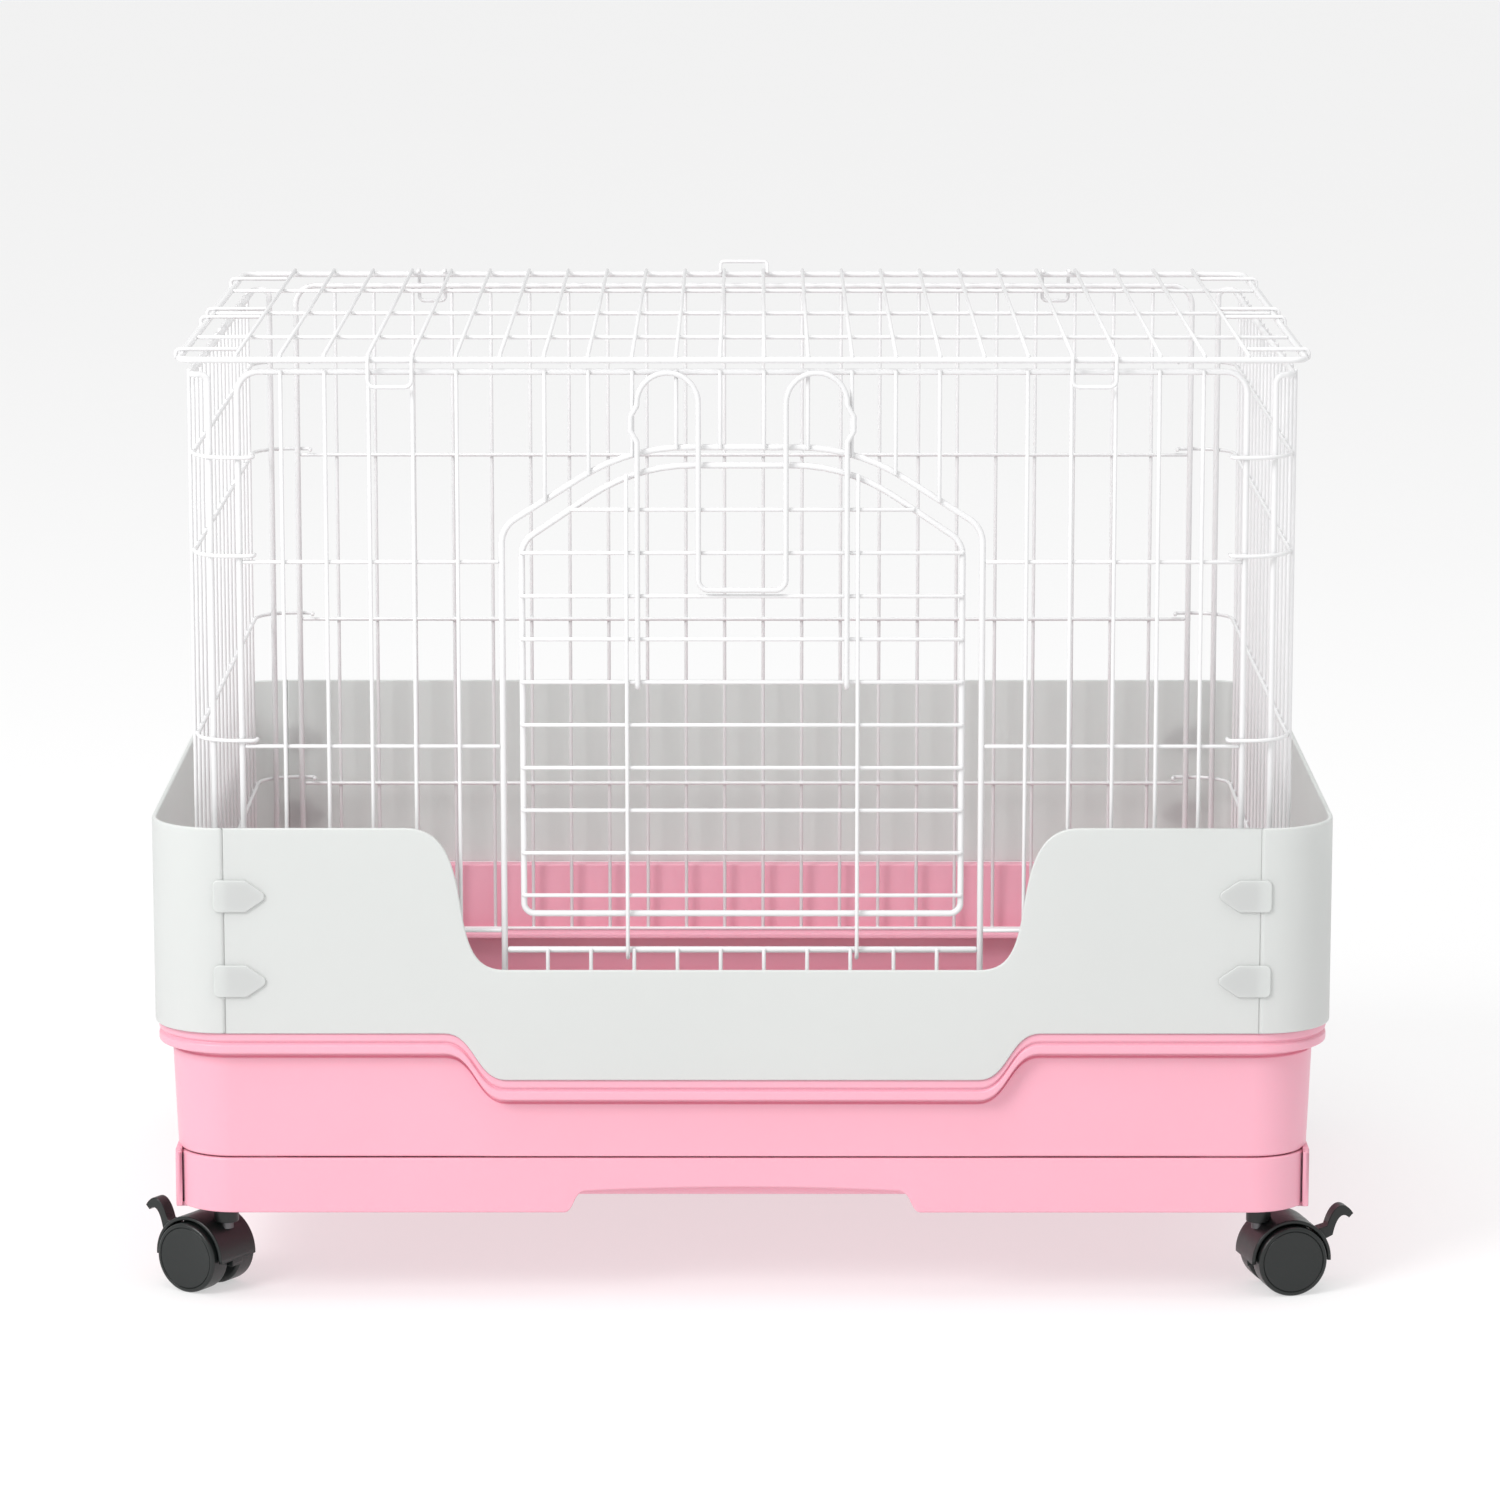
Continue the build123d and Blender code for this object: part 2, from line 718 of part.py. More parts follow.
# ---------------------------------------------------------------- floor grid
grid_half_width = 300.0
grid_half_depth = 211.0
grid_thickness = 4.0
slot_width = 9.0
slot_pitch = 18.0
slot_rows = 22

with BuildPart() as floor_grid:
    with BuildSketch(Plane.XY.offset(tub_seam + flange)):
        RectangleRounded(2 * grid_half_width, 2 * grid_half_depth, 20)
        slot_length = (2 * grid_half_width - 60) / 3
        with GridLocations(slot_length + 10, slot_pitch, 3, slot_rows):
            SlotOverall(slot_length, slot_width, mode=Mode.SUBTRACT)
    extrude(amount=grid_thickness)
save(floor_grid.part, "floor_grid")

# ---------------------------------------------------------------- drawer
tray_front = -200.0
tray_back = 212.0
tray_bottom = base_bottom + shelf + drawer_gap
tray_top = tub_seam - 2
grip_half_width = 95.0
grip_foot = 108.0                 # half width of the cut-out at the bottom edge
grip_bend = 81.0                  # where its sides turn into the arched top
rib_xs = (130.0, drawer_half_width - drawer_wall / 2)
grip_top = 67.5
front_bottom = base_bottom + 0.3
web_z = 70.0

with BuildPart() as drawer:
    with BuildSketch(Plane.XY.offset(tray_bottom)):
        with Locations((0, (tray_front + tray_back) / 2)):
            Rectangle(2 * drawer_half_width, tray_back - tray_front)
    extrude(amount=tray_top - tray_bottom)
    with BuildSketch(Plane.XY.offset(tray_bottom + drawer_wall)):
        with Locations((0, (tray_front + tray_back) / 2)):
            Rectangle(
                2 * (drawer_half_width - drawer_wall), tray_back - tray_front - 2 * drawer_wall
            )
    extrude(amount=tray_top - tray_bottom, mode=Mode.SUBTRACT)
    # Front panel that wraps round both corners of the base.
    with BuildSketch(Plane.XY.offset(front_bottom)):
        RectangleRounded(2 * tub_half_width + 1, 2 * tub_half_depth + 1, tub_corner)
        RectangleRounded(
            2 * (tub_half_width - tub_wall),
            2 * (tub_half_depth - tub_wall),
            tub_corner - tub_wall,
            mode=Mode.SUBTRACT,
        )
        with Locations((0, drawer_front_y - drawer_gap + 2 * tub_half_depth)):
            Rectangle(4 * tub_half_width, 4 * tub_half_depth, mode=Mode.SUBTRACT)
    extrude(amount=tub_seam - drawer_gap - front_bottom)
    # Web and ribs that tie the front panel to the tray behind it.
    front_inner = -tub_half_depth + tub_wall - 0.5
    with BuildSketch(Plane.XY.offset(web_z)):
        with Locations((0, (front_inner + tray_front) / 2)):
            Rectangle(2 * drawer_half_width, tray_front - front_inner + 1)
    extrude(amount=drawer_wall)
    with BuildSketch(Plane.XY.offset(tray_bottom)):
        for rib_x in rib_xs:
            with Locations((rib_x, (front_inner + tray_front) / 2)):
                Rectangle(drawer_wall, tray_front - front_inner + 1)
            with Locations((-rib_x, (front_inner + tray_front) / 2)):
                Rectangle(drawer_wall, tray_front - front_inner + 1)
    extrude(amount=web_z - tray_bottom)
    # Arched finger cut-out in the bottom edge of the front panel.
    with BuildSketch(Plane.XZ.offset(tub_half_depth - 10)):
        with BuildLine():
            Line((grip_foot, front_bottom - 1), (-grip_foot, front_bottom - 1))
            for sign in (-1, 1):
                Bezier(
                    (sign * grip_foot, front_bottom - 1),
                    (sign * grip_half_width, front_bottom + 1),
                    (sign * grip_half_width, grip_top - 3),
                    (sign * grip_bend, grip_top - 2),
                )
            ThreePointArc((-grip_bend, grip_top - 2), (0, grip_top), (grip_bend, grip_top - 2))
        make_face()
    extrude(amount=20, mode=Mode.SUBTRACT)
save(drawer.part, "drawer_tray")

# ---------------------------------------------------------------- castors
# Each castor: a steel stem that turns in its sleeve, a hood over two wheels on one axle,
# and a brake lever between the wheels at the back of the hood.
hood_inner = wheel_radius + 0.9
lever_half_width = 4.0
lever_pivot = (33.5, 30.5)
stem_low = 36.0
stem_high = tub_seam - 2.5
boss_low = 40.0
boss_top = 47.5
boss_radius = 7.0
collar = 1.6
hood_foot = 19.0
web_foot = 15.0
wheel_inner = web_half_width + 0.6
wheel_edge = 1.4
wheel_cap = 1.5                   # closed outer end of each wheel's bore
pin_radius = 1.4

for corner, heading in castor_headings.items():
    stem_x = castor_x if "right" in corner else -castor_x
    stem_y = castor_y if "rear" in corner else -castor_y
    ahead = Vector(cos(radians(heading)), sin(radians(heading)), 0)
    stem_plane = Plane(origin=(stem_x, stem_y, 0), x_dir=ahead, z_dir=(0, 0, 1))
    side_plane = Plane(origin=stem_plane.origin, x_dir=ahead, z_dir=-stem_plane.y_dir)

    with BuildPart() as stem:
        with BuildSketch(stem_plane.offset(stem_low)):
            Circle(stem_radius)
        extrude(amount=stem_high - stem_low)
        with BuildSketch(stem_plane.offset(boss_top)):
            Circle(boss_radius)
        extrude(amount=collar)
        chamfer(stem.faces().sort_by(Axis.Z)[-1].edges(), 0.8)
    save(stem.part, f"{corner}_stem")

    with BuildPart() as hood:
        with BuildSketch(side_plane.offset(-hood_half_width)):
            with Locations((wheel_trail, wheel_radius)):
                Circle(hood_radius)
                Circle(hood_inner, mode=Mode.SUBTRACT)
            with Locations((wheel_trail, hood_foot - 2 * hood_radius)):
                Rectangle(4 * hood_radius, 4 * hood_radius, mode=Mode.SUBTRACT)
        extrude(amount=2 * hood_half_width)
        with BuildSketch(side_plane.offset(-web_half_width)):
            with Locations((wheel_trail, wheel_radius)):
                Circle(hood_radius - 0.5)
            with Locations((wheel_trail, web_foot - hood_radius)):
                Rectangle(4 * hood_radius, 2 * hood_radius, mode=Mode.SUBTRACT)
        extrude(amount=2 * web_half_width)
        with BuildSketch(stem_plane.offset(boss_low)):
            Circle(boss_radius)
        extrude(amount=boss_top - boss_low)
        # Slot for the brake lever, at the rear of the hood.
        with BuildSketch(side_plane.offset(-web_half_width)):
            with Locations((lever_pivot[0] + 11, lever_pivot[1])):
                Rectangle(34, 22)
        extrude(amount=2 * web_half_width, mode=Mode.SUBTRACT)
        with BuildSketch(stem_plane.offset(stem_low)):
            Circle(stem_radius)
        extrude(amount=20, mode=Mode.SUBTRACT)
        with BuildSketch(side_plane.offset(-wheel_radius)):
            with Locations((wheel_trail, wheel_radius)):
                Circle(axle_radius)
        extrude(amount=2 * wheel_radius, mode=Mode.SUBTRACT)
        with BuildSketch(side_plane.offset(-wheel_inner)):
            with Locations(lever_pivot):
                Circle(pin_radius)
        extrude(amount=2 * wheel_inner)
    save(hood.part, f"{corner}_hood")

    with BuildPart() as axle:
        with BuildSketch(side_plane.offset(-wheel_inner - wheel_width + 2)):
            with Locations((wheel_trail, wheel_radius)):
                Circle(axle_radius)
        extrude(amount=2 * (wheel_inner + wheel_width - 2))
    save(axle.part, f"{corner}_axle")

    for wheel_name, inner_face, outward in (("a", wheel_inner, 1), ("b", -wheel_inner, -1)):
        with BuildPart() as wheel:
            with BuildSketch(side_plane.offset(inner_face)):
                with Locations((wheel_trail, wheel_radius)):
                    Circle(wheel_radius)
            extrude(amount=outward * wheel_width)
            fillet(wheel.edges().filter_by(GeomType.CIRCLE), wheel_edge)
            with BuildSketch(side_plane.offset(inner_face)):
                with Locations((wheel_trail, wheel_radius)):
                    Circle(axle_radius + running_gap)
            extrude(amount=outward * (wheel_width - wheel_cap), mode=Mode.SUBTRACT)
        save(wheel.part, f"{corner}_wheel_{wheel_name}")

    with BuildPart() as lever:
        with BuildSketch(side_plane.offset(-lever_half_width)):
            with BuildLine():
                Polyline((32.0, 26.8), (37.5, 27.5), (43.0, 30.0))
                Bezier((43.0, 30.0), (45.0, 40.0), (48.5, 43.5), (52.5, 39.5))
                Line((52.5, 39.5), (55.0, 42.0))
                Bezier((55.0, 42.0), (49.5, 50.5), (43.0, 48.0), (39.5, 35.5))
                Polyline((39.5, 35.5), (35.0, 34.3), (30.5, 32.0), (32.0, 26.8))
            make_face()
            with Locations(lever_pivot):
                Circle(pin_radius + running_gap, mode=Mode.SUBTRACT)
        extrude(amount=2 * lever_half_width)
    save(lever.part, f"{corner}_brake")
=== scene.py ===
import math

import bmesh
import bpy
from mathutils import Matrix, Vector


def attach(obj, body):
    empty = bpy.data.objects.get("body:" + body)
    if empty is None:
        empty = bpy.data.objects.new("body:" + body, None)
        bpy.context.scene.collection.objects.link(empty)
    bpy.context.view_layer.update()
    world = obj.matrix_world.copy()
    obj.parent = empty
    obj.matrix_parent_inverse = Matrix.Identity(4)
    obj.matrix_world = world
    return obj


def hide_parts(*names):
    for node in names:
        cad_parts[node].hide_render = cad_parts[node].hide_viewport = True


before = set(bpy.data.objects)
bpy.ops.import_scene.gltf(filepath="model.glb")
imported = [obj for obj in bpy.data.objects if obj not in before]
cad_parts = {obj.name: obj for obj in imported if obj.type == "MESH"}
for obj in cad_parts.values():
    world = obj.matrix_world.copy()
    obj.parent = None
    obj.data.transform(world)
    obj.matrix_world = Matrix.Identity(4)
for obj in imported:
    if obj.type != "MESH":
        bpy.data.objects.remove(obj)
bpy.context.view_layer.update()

# Millimetre dimensions of the model, each the same as in the CAD source.
MM = 0.001
FRAME_WIRE = 3.5
MESH_WIRE = 2.2
LATCH_WIRE = 3.0
WELD_DEPTH = 0.3
WELD_BEAD = (1.45, 1.45, 0.8, 1.0)
BUTT_DEPTH = 0.1
OVERRUN = 1.0
PITCH = 24.0
PITCHES_WIDE = 23
MESH_HALF_WIDTH = 301.5
MESH_HALF_DEPTH = 213.0
PANEL_HALF_WIDTH = PITCH * PITCHES_WIDE / 2
MESH_FOOT = 118.0
MESH_TOP = 524.0
PANEL_CORNER = 12.0
PANEL_RAILS = (212.0, 316.0, 419.0)
SIDE_RAILS = (215.5, 319.5, 422.5, 477.0)
SIDE_UPRIGHTS = 17
OPENING_HALF_WIDTH = 132.0
OPENING_SILL = 201.0
OPENING_SHOULDER = 438.0
OPENING_TOP = 482.5
OPENING_FLAT = 62.0
OPENING_ARCH = 110.0
OPENING_BEND = 16.0
DOOR_HALF_WIDTH = 121.0
DOOR_FOOT = 221.6
DOOR_SHOULDER = 430.0
DOOR_TOP = 472.5
DOOR_FLAT = 58.0
DOOR_RAILS = [232.3 + PITCH * k for k in range(10)]
HINGE_ROD_X = 63.5
LID_HALF_WIDTH = 307.5
LID_FRONT = -218.0
LID_BACK = MESH_HALF_DEPTH
LID_HEIGHT = 531.0
LID_LONG_WIRES = (-119.0, -2.0, 115.0)
GUARD_HALF_WIDTH = 328.5
GUARD_HALF_DEPTH = 235.0
GUARD_THICKNESS = 2.5
GUARD_CORNER = 40.0
GUARD_SEAM = 286.0
GUARD_TOP = 274.0
GUARD_DIP = 194.0
DIP_NEAR = 131.0
DIP_FAR = 186.0
RIM_HEIGHT = 158.0
RIM_DIP = 131.5
WAVE_NEAR = 131.0
WAVE_FAR = 165.0
TUB_HALF_WIDTH = 317.0
TUB_HALF_DEPTH = 224.0
TUB_CORNER = 33.0
TUB_SEAM = 85.0
TUB_WALL = 3.0
BASE_BOTTOM = 52.5
DRAWER_FRONT_Y = -TUB_HALF_DEPTH + 15.5
CASTOR_X = 291.0
CASTOR_Y = 193.0
WHEEL_RADIUS = 20.0
WHEEL_TRAIL = 15.0
WHEEL_INNER = 5.1
WHEEL_OUTER = 19.1
HEADINGS = {
    "front_left": 147.0, "front_right": 13.0,
    "rear_left": 193.0, "rear_right": -33.0,
}
FRAME_TO_MESH = FRAME_WIRE / 2 + MESH_WIRE / 2 - WELD_DEPTH
MESH_TO_MESH = MESH_WIRE - WELD_DEPTH


# ---------------------------------------------------------------- mesh tools
def bend(points, radii, closed=False, step=11.0):
    """Points along straight runs that arcs of the given radii join."""
    points = [Vector(p) for p in points]
    count = len(points)
    corners = range(count) if closed else range(1, count - 1)
    if isinstance(radii, (int, float)):
        radii = [radii] * len(corners)
    route = [] if closed else [points[0]]
    for radius, i in zip(radii, corners):
        here = points[i]
        back = (points[i - 1] - here).normalized()
        ahead = (points[(i + 1) % count] - here).normalized()
        turn = math.pi - back.angle(ahead)
        if turn < 1e-3 or radius <= 0:
            route.append(here)
            continue
        centre = here + (back + ahead).normalized() * (radius / math.cos(turn / 2))
        start = here + back * radius * math.tan(turn / 2)
        out = (start - centre) / radius
        parts = max(2, math.ceil(math.degrees(turn) / step))
        for j in range(parts + 1):
            angle = turn * j / parts
            route.append(centre + radius * (out * math.cos(angle) - back * math.sin(angle)))
    if not closed:
        route.append(points[-1])
    return route


def bezier(a, b, c, d, parts):
    """Points along a cubic curve, with both ends."""
    a, b, c, d = Vector(a), Vector(b), Vector(c), Vector(d)
    made = []
    for k in range(parts + 1):
        t = k / parts
        s = 1 - t
        made.append(a * s**3 + b * (3 * s * s * t) + c * (3 * s * t * t) + d * t**3)
    return made


def skin(bm, rings, closed_rings=True, closed_run=False, cap=False):
    """Faces between neighbouring rings of points."""
    verts = [[bm.verts.new(p) for p in ring] for ring in rings]
    size = len(verts[0])
    runs = len(verts) if closed_run else len(verts) - 1
    for i in range(runs):
        near, far = verts[i], verts[(i + 1) % len(verts)]
        for j in range(size if closed_rings else size - 1):
            k = (j + 1) % size
            bm.faces.new((near[j], near[k], far[k], far[j]))
    if cap:
        bm.faces.new(list(reversed(verts[0])))
        bm.faces.new(verts[-1])


def add_wire(bm, route, diameter, closed=False, sides=14):
    """A round wire along the route; open ends are rounded."""
    radius = diameter / 2
    count = len(route)
    tangents = []
    for i in range(count):
        before = route[i] - route[i - 1] if closed or i else route[1] - route[0]
        after = route[(i + 1) % count] - route[i] if closed or i < count - 1 else before
        tangents.append((before.normalized() + after.normalized()).normalized())
    first = tangents[0]
    guide = Vector((0, 0, 1)) if abs(first.z) < 0.9 else Vector((0, 1, 0))
    side = first.cross(guide).normalized()
    stations = []
    for i, place in enumerate(route):
        if i:
            side = tangents[i - 1].rotation_difference(tangents[i]) @ side
        stations.append((place, side.copy(), tangents[i].cross(side), radius))
    if not closed:
        shape = ((0.0, 0.5), (0.18, 0.82), (0.5, 1.0))
        place, across, up, _ = stations[0]
        stations[:1] = [(place + first * radius * s, across, up, radius * w) for s, w in shape]
        place, across, up, _ = stations[-1]
        last = tangents[-1]
        stations[-1:] = [
            (place - last * radius * s, across, up, radius * w) for s, w in reversed(shape)
        ]
    rings = []
    for place, across, up, reach in stations:
        ring = []
        for j in range(sides):
            angle = 2 * math.pi * j / sides
            ring.append(place + (across * math.cos(angle) + up * math.sin(angle)) * reach)
        rings.append(ring)
    skin(bm, rings, closed_run=closed, cap=not closed)


def add_weld(bm, place, normal):
    """The small bead where two crossing wires are welded."""
    turn = Vector((0, 0, 1)).rotation_difference(Vector(normal)).to_matrix().to_4x4()
    size = Matrix.Diagonal(WELD_BEAD)
    bmesh.ops.create_uvsphere(
        bm, u_segments=8, v_segments=5, radius=1.0, matrix=Matrix.Translation(place) @ turn @ size
    )


def add_lathe(bm, profile, matrix, sides=48):
    """A closed (radius, height) profile turned about the matrix's Z axis."""
    rings = []
    for j in range(sides):
        angle = 2 * math.pi * j / sides
        x, y = math.cos(angle), math.sin(angle)
        rings.append([matrix @ Vector((r * x, r * y, h)) for r, h in profile])
    skin(bm, rings, closed_run=True)


def add_plate(bm, outline, thickness, edge, matrix, holes=(), rounds=2):
    """A flat outline with holes, given thickness about z = 0, with rounded edges."""
    curve = bpy.data.curves.new("outline", "CURVE")
    curve.dimensions = "2D"
    curve.fill_mode = "BOTH"
    curve.extrude = thickness / 2 - edge
    curve.bevel_depth = edge
    curve.bevel_resolution = rounds
    curve.offset = -edge
    for loop in (outline, *holes):
        spline = curve.splines.new("POLY")
        spline.points.add(len(loop) - 1)
        for point, place in zip(spline.points, loop):
            point.co = (place[0], place[1], 0.0, 1.0)
        spline.use_cyclic_u = True
    holder = bpy.data.objects.new("outline", curve)
    bpy.context.scene.collection.objects.link(holder)
    mesh = bpy.data.meshes.new_from_object(holder)
    mesh.transform(matrix)
    bm.from_mesh(mesh)
    bpy.data.objects.remove(holder)
    bpy.data.curves.remove(curve)
    bpy.data.meshes.remove(mesh)


def add_box(bm, low, high, edge=0.4):
    """A box with rounded edges, as a plate in X and Y."""
    outline = [(low[0], low[1]), (high[0], low[1]), (high[0], high[1]), (low[0], high[1])]
    middle = (low[2] + high[2]) / 2
    add_plate(bm, outline, high[2] - low[2], edge, Matrix.Translation((0, 0, middle)))


def piece(bm, name, body, material, nodes=(), flat=False, weld=True):
    """A finished Blender object from mesh data in millimetres."""
    if weld:
        bmesh.ops.remove_doubles(bm, verts=bm.verts, dist=0.002)
    bmesh.ops.recalc_face_normals(bm, faces=bm.faces)
    bmesh.ops.scale(bm, vec=(MM, MM, MM), verts=bm.verts)
    mesh = bpy.data.meshes.new(name)
    bm.to_mesh(mesh)
    bm.free()
    mesh.polygons.foreach_set("use_smooth", [True] * len(mesh.polygons))
    mesh.materials.append(material)
    made = bpy.data.objects.new(name, mesh)
    bpy.context.scene.collection.objects.link(made)
    if flat:
        normals = made.modifiers.new("flat_faces", "WEIGHTED_NORMAL")
        normals.weight = 80
    if nodes:
        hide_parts(*nodes)
    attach(made, body)
    return made


# ---------------------------------------------------------------- materials
def shader(name, color, roughness, vary=0.03, rough_vary=0.06, grain=1800.0, bump=0.02, patch=9.0):
    """Principled material with soft colour variation, uneven gloss and a fine surface grain."""
    material = bpy.data.materials.new(name)
    material.use_nodes = True
    tree = material.node_tree
    principled = tree.nodes["Principled BSDF"]
    place = tree.nodes.new("ShaderNodeTexCoord")

    broad = tree.nodes.new("ShaderNodeTexNoise")
    broad.inputs["Scale"].default_value = patch
    broad.inputs["Detail"].default_value = 4.0
    tree.links.new(place.outputs["Object"], broad.inputs["Vector"])
    tint = tree.nodes.new("ShaderNodeValToRGB")
    low = [max(0.0, c * (1 - vary)) for c in color[:3]]
    high = [min(1.0, c * (1 + vary)) for c in color[:3]]
    tint.color_ramp.elements[0].position = 0.3
    tint.color_ramp.elements[1].position = 0.7
    tint.color_ramp.elements[0].color = (*low, 1.0)
    tint.color_ramp.elements[1].color = (*high, 1.0)
    tree.links.new(broad.outputs["Fac"], tint.inputs["Fac"])
    tree.links.new(tint.outputs["Color"], principled.inputs["Base Color"])

    smear = tree.nodes.new("ShaderNodeTexNoise")
    smear.inputs["Scale"].default_value = patch * 5
    smear.inputs["Detail"].default_value = 6.0
    tree.links.new(place.outputs["Object"], smear.inputs["Vector"])
    gloss = tree.nodes.new("ShaderNodeMapRange")
    gloss.inputs["To Min"].default_value = max(0.02, roughness - rough_vary)
    gloss.inputs["To Max"].default_value = min(1.0, roughness + rough_vary)
    tree.links.new(smear.outputs["Fac"], gloss.inputs["Value"])
    tree.links.new(gloss.outputs["Result"], principled.inputs["Roughness"])

    fine = tree.nodes.new("ShaderNodeTexNoise")
    fine.inputs["Scale"].default_value = grain
    fine.inputs["Detail"].default_value = 3.0
    tree.links.new(place.outputs["Object"], fine.inputs["Vector"])
    relief = tree.nodes.new("ShaderNodeBump")
    relief.inputs["Strength"].default_value = bump * 10
    relief.inputs["Distance"].default_value = 0.0001
    tree.links.new(fine.outputs["Fac"], relief.inputs["Height"])
    tree.links.new(relief.outputs["Normal"], principled.inputs["Normal"])
    return material, principled


white_coat, knobs = shader(
    "white_powder_coat", (0.76, 0.76, 0.765), 0.32,
    vary=0.02, rough_vary=0.08, grain=900.0, bump=0.03,
)
knobs.inputs["Coat Weight"].default_value = 0.25
knobs.inputs["Coat Roughness"].default_value = 0.15
spring_coat, knobs = shader(
    "white_spring_coat", (0.73, 0.73, 0.735), 0.28,
    vary=0.02, grain=1100.0, bump=0.03,
)
knobs.inputs["Coat Weight"].default_value = 0.3
knobs.inputs["Coat Roughness"].default_value = 0.12
pink, knobs = shader("pink_plastic", (0.83, 0.40, 0.495), 0.38, 0.015, 0.05, 1500.0, 0.025)
knobs.inputs["Subsurface Weight"].default_value = 0.12
knobs.inputs["Subsurface Radius"].default_value = (0.004, 0.0015, 0.002)
milky, knobs = shader("milky_guard", (0.725, 0.74, 0.73), 0.42, 0.012, 0.06, 1300.0, 0.02, 5.0)
# The guard's thin sheet lets part of the light through.
tree = milky.node_tree
through = tree.nodes.new("ShaderNodeBsdfTranslucent")
through.inputs["Color"].default_value = (0.90, 0.93, 0.91, 1.0)
blend = tree.nodes.new("ShaderNodeMixShader")
blend.inputs["Fac"].default_value = 0.3
tree.links.new(knobs.outputs["BSDF"], blend.inputs[1])
tree.links.new(through.outputs["BSDF"], blend.inputs[2])
tree.links.new(blend.outputs["Shader"], tree.nodes["Material Output"].inputs["Surface"])
grid_plastic, knobs = shader("grid_plastic", (0.80, 0.80, 0.79), 0.45, 0.03, 0.08, 1200.0, 0.04)
black, knobs = shader("black_nylon", (0.007, 0.010, 0.0095), 0.36, 0.12, 0.08, 1600.0, 0.05, 30.0)
steel, knobs = shader("dark_steel", (0.13, 0.13, 0.135), 0.38, 0.06, 0.12, 2500.0, 0.03, 60.0)
knobs.inputs["Metallic"].default_value = 1.0

# ---------------------------------------------------------------- front and back panels
FRONT_Y = -MESH_HALF_DEPTH
BACK_Y = MESH_HALF_DEPTH
FOOT_RAIL = MESH_FOOT + MESH_WIRE / 2 + 0.1
UPRIGHT_XS = [PITCH * k - PANEL_HALF_WIDTH for k in range(1, PITCHES_WIDE)]
PANEL_CONTACT = MESH_HALF_DEPTH + FRAME_TO_MESH - MESH_TO_MESH / 2
Y_AXIS = Vector((0, 1, 0))


def arch_height(x):
    """Height of the opening's arch at x."""
    slope = (OPENING_TOP - OPENING_SHOULDER) / (OPENING_HALF_WIDTH - OPENING_FLAT)
    slope_start = OPENING_HALF_WIDTH - (OPENING_HALF_WIDTH - OPENING_FLAT) / 2
    arch_start = 30.0
    if abs(x) <= arch_start:
        return OPENING_TOP
    if abs(x) < slope_start:
        drop = math.sqrt(OPENING_ARCH**2 - (abs(x) - arch_start) ** 2)
        return OPENING_TOP - OPENING_ARCH + drop
    return OPENING_SHOULDER + (OPENING_HALF_WIDTH - abs(x)) * slope


def border(y):
    """Route of a panel's border wire."""
    corners = [
        (-PANEL_HALF_WIDTH, y, MESH_FOOT),
        (-PANEL_HALF_WIDTH, y, MESH_TOP),
        (PANEL_HALF_WIDTH, y, MESH_TOP),
        (PANEL_HALF_WIDTH, y, MESH_FOOT),
    ]
    return bend(corners, PANEL_CORNER)


def straight(bm, start, end, diameter):
    add_wire(bm, [Vector(start), Vector(end)], diameter)


bm = bmesh.new()
add_wire(bm, border(FRONT_Y), FRAME_WIRE)
piece(bm, "front_border", "cage", white_coat, ["front_frame"])

outer_xs = [x for x in UPRIGHT_XS if abs(x) > OPENING_HALF_WIDTH + FRAME_WIRE]
inner_xs = [x for x in UPRIGHT_XS if abs(x) < OPENING_HALF_WIDTH - FRAME_WIRE]
bm = bmesh.new()
layer = FRONT_Y - FRAME_TO_MESH
for x in outer_xs:
    straight(bm, (x, layer, MESH_FOOT), (x, layer, MESH_TOP + OVERRUN), MESH_WIRE)
    for z in (FOOT_RAIL, *PANEL_RAILS, MESH_TOP):
        add_weld(bm, (x, -PANEL_CONTACT, z), Y_AXIS)
for x in inner_xs:
    straight(bm, (x, layer, MESH_FOOT), (x, layer, OPENING_SILL + OVERRUN), MESH_WIRE)
    arch = arch_height(x)
    straight(bm, (x, layer, arch - OVERRUN), (x, layer, MESH_TOP + OVERRUN), MESH_WIRE)
    for z in (FOOT_RAIL, OPENING_SILL, arch, MESH_TOP):
        add_weld(bm, (x, -PANEL_CONTACT, z), Y_AXIS)
piece(bm, "front_upright_wires", "cage", white_coat, ["front_uprights"])

bm = bmesh.new()
layer = FRONT_Y - FRAME_TO_MESH + MESH_TO_MESH
inner_end = OPENING_HALF_WIDTH + FRAME_WIRE / 2 - BUTT_DEPTH
outer_end = PANEL_HALF_WIDTH - FRAME_WIRE / 2 + BUTT_DEPTH
middle_end = OPENING_HALF_WIDTH - FRAME_WIRE / 2 + BUTT_DEPTH
for z in (FOOT_RAIL, *PANEL_RAILS):
    for sign in (-1, 1):
        straight(bm, (sign * inner_end, layer, z), (sign * outer_end, layer, z), MESH_WIRE)
straight(bm, (-middle_end, layer, FOOT_RAIL), (middle_end, layer, FOOT_RAIL), MESH_WIRE)
piece(bm, "front_rail_wires", "cage", white_coat, ["front_rails"])

